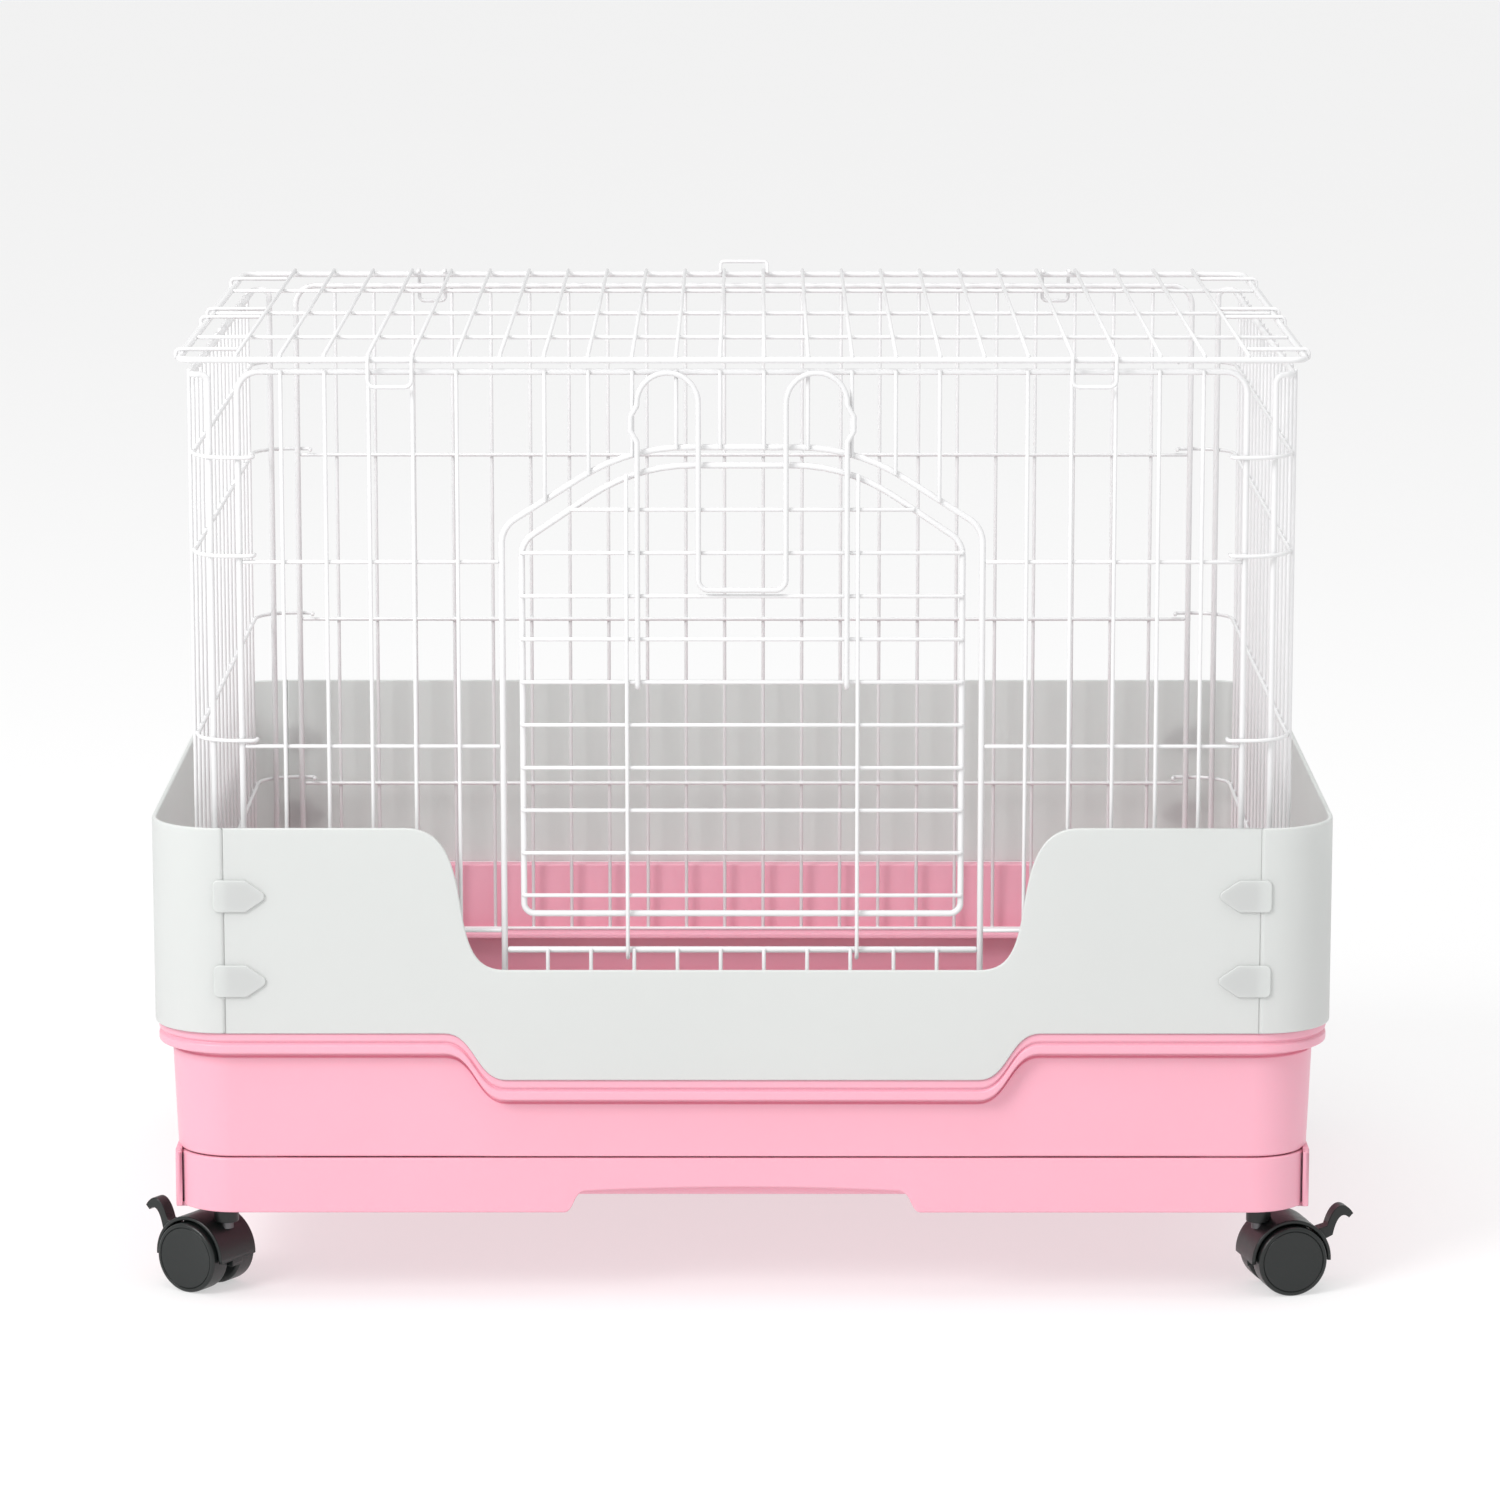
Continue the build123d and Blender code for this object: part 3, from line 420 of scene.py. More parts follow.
bm = bmesh.new()
corners = [
    (-OPENING_HALF_WIDTH, FRONT_Y, MESH_FOOT),
    (-OPENING_HALF_WIDTH, FRONT_Y, OPENING_SHOULDER),
    (-OPENING_FLAT, FRONT_Y, OPENING_TOP),
    (OPENING_FLAT, FRONT_Y, OPENING_TOP),
    (OPENING_HALF_WIDTH, FRONT_Y, OPENING_SHOULDER),
    (OPENING_HALF_WIDTH, FRONT_Y, MESH_FOOT),
]
route = bend(corners, [OPENING_BEND, OPENING_ARCH, OPENING_ARCH, OPENING_BEND], step=5.0)
add_wire(bm, route, FRAME_WIRE)
piece(bm, "opening_border", "cage", white_coat, ["opening_frame"])

bm = bmesh.new()
straight(bm, (-middle_end, FRONT_Y, OPENING_SILL), (middle_end, FRONT_Y, OPENING_SILL), FRAME_WIRE)
piece(bm, "door_sill_bar", "cage", white_coat, ["door_sill"])

bm = bmesh.new()
add_wire(bm, border(BACK_Y), FRAME_WIRE)
piece(bm, "back_border", "cage", white_coat, ["back_frame"])

bm = bmesh.new()
layer = BACK_Y + FRAME_TO_MESH
for x in UPRIGHT_XS:
    straight(bm, (x, layer, MESH_FOOT), (x, layer, MESH_TOP + OVERRUN), MESH_WIRE)
    for z in (FOOT_RAIL, *PANEL_RAILS, MESH_TOP):
        add_weld(bm, (x, PANEL_CONTACT, z), Y_AXIS)
piece(bm, "back_upright_wires", "cage", white_coat, ["back_uprights"])

bm = bmesh.new()
layer = BACK_Y + FRAME_TO_MESH - MESH_TO_MESH
for z in (FOOT_RAIL, *PANEL_RAILS):
    straight(bm, (-outer_end, layer, z), (outer_end, layer, z), MESH_WIRE)
piece(bm, "back_rail_wires", "cage", white_coat, ["back_rails"])

# ---------------------------------------------------------------- side panels
POST_X = 292.0
SIDE_GAP = 0.3
POST_Y = MESH_HALF_DEPTH - FRAME_WIRE - SIDE_GAP
SIDE_TOP = MESH_TOP - 2.0
SIDE_BEND = (MESH_HALF_WIDTH - POST_X) / 2 - 0.05
RAIL_FRONT = MESH_HALF_DEPTH + FRAME_WIRE / 2 + MESH_WIRE / 2 + 0.05
HOOK_X = PANEL_HALF_WIDTH - 8.0
HOOK_TAIL = 7
RAIL_BENDS = [3, 22, 22, 3]
SIDE_UPRIGHT_X = MESH_HALF_WIDTH + FRAME_TO_MESH
SIDE_RAIL_X = SIDE_UPRIGHT_X - MESH_TO_MESH
UPRIGHT_YS = [PITCH * (k - (SIDE_UPRIGHTS - 1) / 2) for k in range(SIDE_UPRIGHTS)]
X_AXIS = Vector((1, 0, 0))

for side, sign in (("left", -1), ("right", 1)):
    bm = bmesh.new()
    corners = [
        (sign * POST_X, -POST_Y, MESH_FOOT),
        (sign * POST_X, -POST_Y, SIDE_TOP),
        (sign * MESH_HALF_WIDTH, -POST_Y, SIDE_TOP),
        (sign * MESH_HALF_WIDTH, POST_Y, SIDE_TOP),
        (sign * POST_X, POST_Y, SIDE_TOP),
        (sign * POST_X, POST_Y, MESH_FOOT),
    ]
    add_wire(bm, bend(corners, SIDE_BEND), FRAME_WIRE)
    piece(bm, f"{side}_border", "cage", white_coat, [f"{side}_frame"])

    bm = bmesh.new()
    for y in UPRIGHT_YS:
        start = (sign * SIDE_UPRIGHT_X, y, MESH_FOOT)
        straight(bm, start, (sign * SIDE_UPRIGHT_X, y, SIDE_TOP + OVERRUN), MESH_WIRE)
        for z in (FOOT_RAIL, *SIDE_RAILS, SIDE_TOP):
            add_weld(bm, (sign * (SIDE_UPRIGHT_X - MESH_TO_MESH / 2), y, z), X_AXIS)
    piece(bm, f"{side}_upright_wires", "cage", white_coat, [f"{side}_uprights"])

    bm = bmesh.new()
    for z in SIDE_RAILS:
        corners = [
            (sign * HOOK_X, -RAIL_FRONT + HOOK_TAIL, z),
            (sign * HOOK_X, -RAIL_FRONT, z),
            (sign * SIDE_RAIL_X, -RAIL_FRONT, z),
            (sign * SIDE_RAIL_X, RAIL_FRONT, z),
            (sign * HOOK_X, RAIL_FRONT, z),
            (sign * HOOK_X, RAIL_FRONT - HOOK_TAIL, z),
        ]
        add_wire(bm, bend(corners, RAIL_BENDS), MESH_WIRE)
    foot_end = UPRIGHT_YS[-1] + PITCH / 4
    start = (sign * SIDE_RAIL_X, -foot_end, FOOT_RAIL)
    straight(bm, start, (sign * SIDE_RAIL_X, foot_end, FOOT_RAIL), MESH_WIRE)
    piece(bm, f"{side}_rail_wires", "cage", white_coat, [f"{side}_rails"])

# ---------------------------------------------------------------- lid
CROSS_Z = LID_HEIGHT + FRAME_TO_MESH
LONG_Z = CROSS_Z - MESH_TO_MESH
CROSS_XS = [PITCH * k - PANEL_HALF_WIDTH for k in range(PITCHES_WIDE + 1)]
Z_AXIS = Vector((0, 0, 1))
LID_CORNER = 9.0
CLIP_REACH, CLIP_DROP = 3.7, 17.0
HOOK_REACH, HOOK_DROP = 7.0, 10.0
CLIP_SPANS = ((3, 4), (19, 20))
SIDE_LOOPS = ((-190, -36), (4, 164))
SIDE_LOOP_DROP = 5
LOOP_BEND = 2.4
LOOP_ASIDE, LOOP_RISE = 2.4, 5.2

bm = bmesh.new()
corners = [
    (-LID_HALF_WIDTH, LID_FRONT, LID_HEIGHT),
    (LID_HALF_WIDTH, LID_FRONT, LID_HEIGHT),
    (LID_HALF_WIDTH, LID_BACK, LID_HEIGHT),
    (-LID_HALF_WIDTH, LID_BACK, LID_HEIGHT),
]
add_wire(bm, bend(corners, LID_CORNER, closed=True), FRAME_WIRE, closed=True)
piece(bm, "lid_border", "lid", white_coat, ["lid_frame"])

bm = bmesh.new()
for x in CROSS_XS:
    start = (x, LID_FRONT - OVERRUN, CROSS_Z)
    straight(bm, start, (x, LID_BACK + 2 * OVERRUN, CROSS_Z), MESH_WIRE)
    for y in (LID_FRONT, *LID_LONG_WIRES, LID_BACK):
        add_weld(bm, (x, y, CROSS_Z - MESH_TO_MESH / 2), Z_AXIS)
piece(bm, "lid_cross_mesh", "lid", white_coat, ["lid_cross_wires"])

bm = bmesh.new()
long_end = LID_HALF_WIDTH - FRAME_WIRE / 2 + BUTT_DEPTH
for y in LID_LONG_WIRES:
    straight(bm, (-long_end, y, LONG_Z), (long_end, y, LONG_Z), MESH_WIRE)
piece(bm, "lid_long_mesh", "lid", white_coat, ["lid_long_wires"])

bm = bmesh.new()
clip_front = LID_FRONT - CLIP_REACH
clip_low = CROSS_Z - CLIP_DROP
hook_back = LID_BACK + HOOK_REACH
hook_low = MESH_TOP - HOOK_DROP
for first, last in CLIP_SPANS:
    left_x, right_x = CROSS_XS[first], CROSS_XS[last]
    corners = [
        (left_x, LID_FRONT - OVERRUN, CROSS_Z),
        (left_x, clip_front, CROSS_Z),
        (left_x, clip_front, clip_low),
        (right_x, clip_front, clip_low),
        (right_x, clip_front, CROSS_Z),
        (right_x, LID_FRONT - OVERRUN, CROSS_Z),
    ]
    add_wire(bm, bend(corners, [2.2, 4, 4, 2.2]), MESH_WIRE)
    corners = [
        (left_x + 4, LID_BACK - 8, CROSS_Z),
        (left_x + 4, hook_back, CROSS_Z),
        (left_x + 4, hook_back, hook_low),
        (right_x - 4, hook_back, hook_low),
        (right_x - 4, hook_back, CROSS_Z),
        (right_x - 4, LID_BACK - 8, CROSS_Z),
    ]
    add_wire(bm, bend(corners, 3.0), MESH_WIRE)
loop_x = LID_HALF_WIDTH + 3.8
for sign in (-1, 1):
    for near, far in SIDE_LOOPS:
        corners = [
            (sign * (PANEL_HALF_WIDTH + OVERRUN), near, CROSS_Z),
            (sign * loop_x, near, CROSS_Z),
            (sign * loop_x, near, CROSS_Z - SIDE_LOOP_DROP),
            (sign * loop_x, far, CROSS_Z - SIDE_LOOP_DROP),
            (sign * loop_x, far, CROSS_Z),
            (sign * (PANEL_HALF_WIDTH + OVERRUN), far, CROSS_Z),
        ]
        add_wire(bm, bend(corners, LOOP_BEND), MESH_WIRE)
loop_left, loop_right = CROSS_XS[11] - LOOP_ASIDE, CROSS_XS[12] + LOOP_ASIDE
corners = [
    (loop_left, LID_BACK - 12, CROSS_Z),
    (loop_left, LID_BACK, CROSS_Z),
    (loop_left, LID_BACK + 2, CROSS_Z + LOOP_RISE),
    (loop_right, LID_BACK + 2, CROSS_Z + LOOP_RISE),
    (loop_right, LID_BACK, CROSS_Z),
    (loop_right, LID_BACK - 12, CROSS_Z),
]
add_wire(bm, bend(corners, LOOP_BEND), MESH_WIRE)
piece(bm, "lid_clip_wires", "lid", white_coat, ["lid_clips"])

# ---------------------------------------------------------------- door and latch
DOOR_RAIL_Y = FRONT_Y - FRAME_TO_MESH
DOOR_CONTACT_Y = (FRONT_Y - FRAME_WIRE / 2 + DOOR_RAIL_Y + MESH_WIRE / 2) / 2
ROD_Y = DOOR_RAIL_Y - MESH_TO_MESH
ROD_TOP = DOOR_TOP - 4
DOOR_BENDS = [6, 14, 100, 100, 14, 6]
RAIL_OVERRUN = 0.5

bm = bmesh.new()
corners = [
    (-DOOR_HALF_WIDTH, FRONT_Y, DOOR_FOOT),
    (-DOOR_HALF_WIDTH, FRONT_Y, DOOR_SHOULDER),
    (-DOOR_FLAT, FRONT_Y, DOOR_TOP),
    (DOOR_FLAT, FRONT_Y, DOOR_TOP),
    (DOOR_HALF_WIDTH, FRONT_Y, DOOR_SHOULDER),
    (DOOR_HALF_WIDTH, FRONT_Y, DOOR_FOOT),
]
route = bend(corners, DOOR_BENDS, closed=True, step=5.0)
add_wire(bm, route, FRAME_WIRE, closed=True)
piece(bm, "door_border", "door", white_coat, ["door_frame"])

bm = bmesh.new()
narrow = (DOOR_HALF_WIDTH - DOOR_FLAT) / (DOOR_TOP - DOOR_SHOULDER)
for z in DOOR_RAILS:
    reach = DOOR_HALF_WIDTH - max(0, z - DOOR_SHOULDER) * narrow
    start = (-reach - RAIL_OVERRUN, DOOR_RAIL_Y, z)
    straight(bm, start, (reach + RAIL_OVERRUN, DOOR_RAIL_Y, z), MESH_WIRE)
    for sign in (-1, 1):
        add_weld(bm, (sign * reach, DOOR_CONTACT_Y, z), Y_AXIS)
        add_weld(bm, (sign * HINGE_ROD_X, (DOOR_RAIL_Y + ROD_Y) / 2, z), Y_AXIS)
piece(bm, "door_rail_wires", "door", white_coat, ["door_rails"])

bm = bmesh.new()
ring = FRONT_Y - ROD_Y
for x in (-HINGE_ROD_X, HINGE_ROD_X):
    route = [Vector((x, ROD_Y, ROD_TOP))]
    for k in range(17):
        angle = math.pi * k / 16
        turned = (FRONT_Y - ring * math.cos(angle), OPENING_SILL - ring * math.sin(angle))
        route.append(Vector((x, *turned)))
    add_wire(bm, route, MESH_WIRE)
piece(bm, "door_rods", "door", white_coat, ["door_hinge_rods"])

bm = bmesh.new()
latch_ring = MESH_WIRE / 2 + LATCH_WIRE / 2 + 0.1
latch_y = DOOR_RAIL_Y - latch_ring
latch_z = DOOR_RAILS[5]
LEG_OUTER, LEG_INNER, KINK = 57.5, 24.0, 61.0
LATCH_TOP, HANDLE_Z = 524.0, 404.0
KINK_LOW, KINK_HIGH, KINK_RAMP = 486.0, 506.0, 6.0
FOOT_BEND, KINK_BEND, HANDLE_BEND = 2.5, 3, 6
upper = [
    (-LEG_OUTER, KINK_LOW),
    (-KINK, KINK_LOW + KINK_RAMP),
    (-KINK, KINK_HIGH - KINK_RAMP),
    (-LEG_OUTER, KINK_HIGH),
    (-LEG_OUTER, LATCH_TOP),
    (-LEG_INNER, LATCH_TOP),
    (-LEG_INNER, HANDLE_Z),
]
upper = upper + [(-x, z) for x, z in reversed(upper)]
foot = [
    (-LEG_OUTER, DOOR_RAIL_Y + latch_ring, latch_z + 4),
    (-LEG_OUTER, DOOR_RAIL_Y + latch_ring, latch_z - latch_ring),
    (-LEG_OUTER, latch_y, latch_z - latch_ring),
]
corners = foot + [(x, latch_y, z) for x, z in upper] + [(-x, y, z) for x, y, z in reversed(foot)]
arc = (LEG_OUTER - LEG_INNER) / 2 - 0.1
half_bends = [FOOT_BEND] * 2 + [KINK_BEND] * 4 + [arc, arc, HANDLE_BEND]
add_wire(bm, bend(corners, half_bends + half_bends[::-1]), LATCH_WIRE)
piece(bm, "latch_spring", "latch", spring_coat, ["door_latch"])


# ---------------------------------------------------------------- round shells
def knots(value, table):
    """Piecewise linear value from (at, value) pairs in rising order."""
    if value <= table[0][0]:
        return table[0][1]
    for (a, low), (b, high) in zip(table, table[1:]):
        if value <= b:
            return low + (high - low) * (value - a) / (b - a)
    return table[-1][1]


def corner_arc(half_width, half_depth, radius, start, parts):
    """Points of one corner of a rounded rectangle, from the start angle on by 90 degrees."""
    made = []
    for k in range(parts + 1):
        angle = math.radians(start + 90 * k / parts)
        x = math.cos(angle) * radius
        y = math.sin(angle) * radius
        made.append((x, y))
    sign_x = 1 if math.cos(math.radians(start + 45)) > 0 else -1
    sign_y = 1 if math.sin(math.radians(start + 45)) > 0 else -1
    shift = (sign_x * (half_width - radius), sign_y * (half_depth - radius))
    return [(x + shift[0], y + shift[1]) for x, y in made]


CORNER_PARTS = 14


def whole_ring(half_width, half_depth, radius, front_xs):
    """A rounded rectangle, anticlockwise from its front left corner; front_xs lie on the front."""
    ring = corner_arc(half_width, half_depth, radius, 180, CORNER_PARTS)
    ring += [(x, -half_depth) for x in front_xs]
    ring += corner_arc(half_width, half_depth, radius, 270, CORNER_PARTS)
    ring += corner_arc(half_width, half_depth, radius, 0, CORNER_PARTS)
    ring += corner_arc(half_width, half_depth, radius, 90, CORNER_PARTS)
    return ring


wave_half = (WAVE_NEAR + WAVE_FAR) / 2
wave_drop = RIM_DIP - RIM_HEIGHT
wave = bezier(
    (WAVE_NEAR, wave_drop, 0), (wave_half, wave_drop, 0),
    (wave_half, 0, 0), (WAVE_FAR, 0, 0), 16,
)
WAVE = [(p.x, p.y) for p in wave]
WAVE_XS = [-x for x, _ in reversed(WAVE)] + [0.0] + [x for x, _ in WAVE]

# How far each sideways offset moves the front and back walls.
TUB_DEPTHS = ((-33.0, -28.0), (-27.0, -21.0), (-5.0, -5.0), (0.0, 0.0), (10.0, 9.5))


def tub_ring(lift, height, follow):
    """Ring of the tub: lift outside the seam's outline, at a height that follows the wave."""
    depth = knots(lift, TUB_DEPTHS)
    # The openings inside the ledge and the flange have nearly square corners.
    radius = max(2.0, TUB_CORNER + (lift if lift > -20 else -31))
    made = []
    for x, y in whole_ring(TUB_HALF_WIDTH + lift, TUB_HALF_DEPTH + depth, radius, WAVE_XS):
        drop = knots(abs(x), WAVE) * follow if y < 0 else 0.0
        made.append(Vector((x, y, height + drop)))
    return made


# Outline of the tub's wall as (outward, height, how much it follows the wave), with the
# radius of each corner.
TUB_PROFILE = (
    (0.0, TUB_SEAM, 0, 1.6),
    (2.3, 142.4, 1, 0.8),
    (0.3, 143.0, 1, 0.4),
    (0.3, 146.0, 1, 0.6),
    (10.0, 146.0, 1, 1.3),
    (10.0, 150.8, 1, 1.2),
    (8.3, 151.9, 1, 0.5),
    (8.3, 152.5, 1, 0.5),
    (10.0, 153.6, 1, 1.2),
    (10.0, RIM_HEIGHT, 1, 1.3),
    (-0.6, RIM_HEIGHT, 1, 0.9),
    (-1.7, MESH_FOOT, 0, 0.7),
    (-27.0, MESH_FOOT, 0, 0.8),
    (-27.0, 115.0, 0, 0.8),
    (-1.8, 115.0, 0, 0.6),
    (-2.9, 88.0, 0, 0.6),
    (-33.0, 88.0, 0, 0.8),
    (-33.0, TUB_SEAM, 0, 0.8),
)
profile = bend([p[:3] for p in TUB_PROFILE], [p[3] for p in TUB_PROFILE], closed=True, step=30.0)
bm = bmesh.new()
skin(bm, [tub_ring(p.x, p.y, p.z) for p in profile], closed_run=True)


def back_path(half_width, half_depth, radius, front_end):
    """Rounded path from the right side's front end, round the back, to the left side's."""
    path = [(half_width, front_end)]
    path += corner_arc(half_width, half_depth, radius, 0, CORNER_PARTS)
    path += corner_arc(half_width, half_depth, radius, 90, CORNER_PARTS)
    path += [(-half_width, front_end)]
    return path


def section(corners, edge):
    """Closed (outward, height) outline with rounded corners."""
    return [(p.x, p.y) for p in bend([(*c, 0) for c in corners], edge, closed=True, step=30.0)]


SKIRT_OUTSET = 0.5
SKIRT_TOP = TUB_SEAM + 1
LEG_BORE, LEG_RADIUS = 6.0, 13.0
SHELF_THICKNESS = 2.5

# Skirt round the back and the sides.
skirt_edge = section(
    (
        (SKIRT_OUTSET, BASE_BOTTOM), (SKIRT_OUTSET, SKIRT_TOP),
        (-TUB_WALL, SKIRT_TOP), (-TUB_WALL, BASE_BOTTOM),
    ),
    0.7,
)
stations = []
for lift, height in skirt_edge:
    path = back_path(
        TUB_HALF_WIDTH + lift, TUB_HALF_DEPTH + lift, TUB_CORNER + lift, DRAWER_FRONT_Y
    )
    stations.append([Vector((x, y, height)) for x, y in path])
rings = [[s[i] for s in stations] for i in range(len(stations[0]))]
skin(bm, rings, cap=True)

# One shelf under each side.
shelf_inner = 252.0
shelf_outer = TUB_HALF_WIDTH - 1
shelf_back = TUB_HALF_DEPTH - 1
outline = [(shelf_inner, DRAWER_FRONT_Y), (shelf_outer, DRAWER_FRONT_Y)]
outline += corner_arc(shelf_outer, shelf_back, TUB_CORNER - 1, 0, CORNER_PARTS)
outline += [(shelf_inner, shelf_back)]
for sign in (-1, 1):
    turned = [(sign * x, y) for x, y in outline]
    middle = BASE_BOTTOM + SHELF_THICKNESS / 2
    add_plate(bm, turned, SHELF_THICKNESS, 0.5, Matrix.Translation((0, 0, middle)))

# Legs, with the bores of the castor sleeves.
leg = section(
    (
        (LEG_BORE, BASE_BOTTOM), (LEG_RADIUS, BASE_BOTTOM),
        (LEG_RADIUS, SKIRT_TOP), (LEG_BORE, SKIRT_TOP),
    ),
    0.6,
)
for x in (-CASTOR_X, CASTOR_X):
    for y in (-CASTOR_Y, CASTOR_Y):
        add_lathe(bm, leg, Matrix.Translation((x, y, 0)))
piece(bm, "pink_tub", "cage", pink, ["base_tub"], flat=True)

# ---------------------------------------------------------------- splash guard
GUARD_EDGE = 0.9
SEAM_GAP = 0.1
TONGUE_HEIGHTS = (188.0, 236.0)
TONGUE_THICKNESS = 1.6

bm = bmesh.new()
dip_middle = (DIP_FAR - 30, (GUARD_TOP + GUARD_DIP) / 2, 0)
dip_upper = bezier(
    (DIP_FAR, GUARD_TOP, 0), (DIP_FAR - 18, GUARD_TOP, 0),
    (DIP_FAR - 26, GUARD_TOP - 12, 0), dip_middle, 14,
)
dip_lower = bezier(
    dip_middle, (DIP_NEAR + 21, GUARD_DIP + 12, 0),
    (DIP_NEAR + 17, GUARD_DIP, 0), (DIP_NEAR, GUARD_DIP, 0), 14,
)
half_top = [(p.x, p.y) for p in dip_upper[:-1] + dip_lower]
half_low = [(x, RIM_HEIGHT + drop) for x, drop in WAVE]
outline = [(GUARD_SEAM, GUARD_TOP)] + half_top
outline += [(-x, z) for x, z in reversed(half_top)] + [(-GUARD_SEAM, GUARD_TOP)]
outline += [(-GUARD_SEAM, RIM_HEIGHT)] + [(-x, z) for x, z in reversed(half_low)]
outline += half_low + [(GUARD_SEAM, RIM_HEIGHT)]
stand = Matrix.Rotation(math.radians(90), 4, "X")
front_plane = Matrix.Translation((0, -GUARD_HALF_DEPTH + GUARD_THICKNESS / 2, 0)) @ stand
add_plate(bm, outline, GUARD_THICKNESS, GUARD_EDGE, front_plane, rounds=3)
piece(bm, "guard_front_plate", "cage", milky, ["guard_front"], flat=True)

bm = bmesh.new()
outline = [
    (-GUARD_SEAM, RIM_HEIGHT), (GUARD_SEAM, RIM_HEIGHT),
    (GUARD_SEAM, GUARD_TOP), (-GUARD_SEAM, GUARD_TOP),
]
back_plane = Matrix.Translation((0, GUARD_HALF_DEPTH - GUARD_THICKNESS / 2, 0)) @ stand
add_plate(bm, outline, GUARD_THICKNESS, GUARD_EDGE, back_plane, rounds=3)
piece(bm, "guard_back_plate", "cage", milky, ["guard_back"], flat=True)

guard_edge = section(
    (
        (0, RIM_HEIGHT), (0, GUARD_TOP),
        (-GUARD_THICKNESS, GUARD_TOP), (-GUARD_THICKNESS, RIM_HEIGHT),
    ),
    GUARD_EDGE,
)
for side, sign in (("left", -1), ("right", 1)):
    bm = bmesh.new()
    stations = []
    for lift, height in guard_edge:
        half_width, half_depth = GUARD_HALF_WIDTH + lift, GUARD_HALF_DEPTH + lift
        path = [(GUARD_SEAM + SEAM_GAP, -half_depth)]
        path += corner_arc(half_width, half_depth, GUARD_CORNER + lift, 270, CORNER_PARTS)
        path += corner_arc(half_width, half_depth, GUARD_CORNER + lift, 0, CORNER_PARTS)
        path += [(GUARD_SEAM + SEAM_GAP, half_depth)]
        stations.append([Vector((sign * x, y, height)) for x, y in path])
    skin(bm, [[s[i] for s in stations] for i in range(len(stations[0]))], cap=True)
    for height in TONGUE_HEIGHTS:
        corners = [
            (sign * (GUARD_SEAM + 6), height - 9, 0),
            (sign * (GUARD_SEAM - 12), height - 9, 0),
            (sign * (GUARD_SEAM - 25), height, 0),
            (sign * (GUARD_SEAM - 12), height + 9, 0),
            (sign * (GUARD_SEAM + 6), height + 9, 0),
        ]
        tongue = [(p.x, p.y) for p in bend(corners, [3, 4, 3, 4, 3], closed=True)]
        for face in (-1, 1):
            middle = face * (GUARD_HALF_DEPTH + TONGUE_THICKNESS / 2)
            flat = Matrix.Translation((0, middle, 0)) @ stand
            add_plate(bm, tongue, TONGUE_THICKNESS, 0.6, flat, rounds=3)
    piece(bm, f"guard_{side}_plate", "cage", milky, [f"guard_{side}"], flat=True)

# ---------------------------------------------------------------- floor grid
bm = bmesh.new()
QUARTERS = (180, 270, 0, 90)
SLOT_ROWS, SLOT_PITCH = 22, 18.0
COLUMN_PITCH = 190.0
SLOT_HALF_LENGTH, SLOT_HALF_WIDTH, SLOT_END = 90.0, 4.5, 4.49
GRID_HALF_WIDTH, GRID_HALF_DEPTH, GRID_CORNER = 300.0, 211.0, 20.0
GRID_MIDDLE, GRID_THICKNESS = 90.0, 4.0
outline = []
slot = []
for start in QUARTERS:
    outline += corner_arc(GRID_HALF_WIDTH, GRID_HALF_DEPTH, GRID_CORNER, start, 8)
    slot += corner_arc(SLOT_HALF_LENGTH, SLOT_HALF_WIDTH, SLOT_END, start, 5)
slots = []
for column in (-1, 0, 1):
    for row in range(SLOT_ROWS):
        middle_x = COLUMN_PITCH * column
        middle_y = SLOT_PITCH * (row - (SLOT_ROWS - 1) / 2)
        slots.append([(middle_x + x, middle_y + y) for x, y in slot])
stand_at = Matrix.Translation((0, 0, GRID_MIDDLE))
add_plate(bm, outline, GRID_THICKNESS, 0.8, stand_at, holes=slots)
piece(bm, "floor_grid_plate", "cage", grid_plastic, ["floor_grid"], flat=True)

# ---------------------------------------------------------------- drawer
FRONT_BOTTOM = BASE_BOTTOM + 0.3
PANEL_GAP = 0.7
FRONT_TOP = TUB_SEAM - PANEL_GAP
TRAY_HALF_WIDTH, TRAY_FRONT, TRAY_BACK = 262.0, -200.0, 212.0
TRAY_BOTTOM, TRAY_TOP = 55.7, 83.0
WEB_LOW, WEB_HIGH = 70.0, 72.0
# Finger cut-out: a steep S at each end, joined by a low arch.
GRIP_HALF_WIDTH, ARCH_HALF_WIDTH = 103, 87
ARCH_FOOT, ARCH_RISE, ARCH_PARTS = 65.2, 2.3, 8
grip = bezier(
    (GRIP_HALF_WIDTH, 51.8, 0), (92, 51.8, 0),
    (96.5, 64.2, 0), (ARCH_HALF_WIDTH, ARCH_FOOT, 0), 14,
)
grip = [(p.x, max(0.0, p.y - FRONT_BOTTOM)) for p in grip]
crown = []
for k in range(1, ARCH_PARTS + 1):
    share = 1 - k / ARCH_PARTS
    crown.append((ARCH_HALF_WIDTH * share, ARCH_FOOT + ARCH_RISE * (1 - share**2) - FRONT_BOTTOM))
GRIP = sorted(grip + crown)
GRIP_XS = sorted({-x for x, _ in GRIP} | {x for x, _ in GRIP})
bm = bmesh.new()
edge = 1.2
shoulder = 0.3 * edge
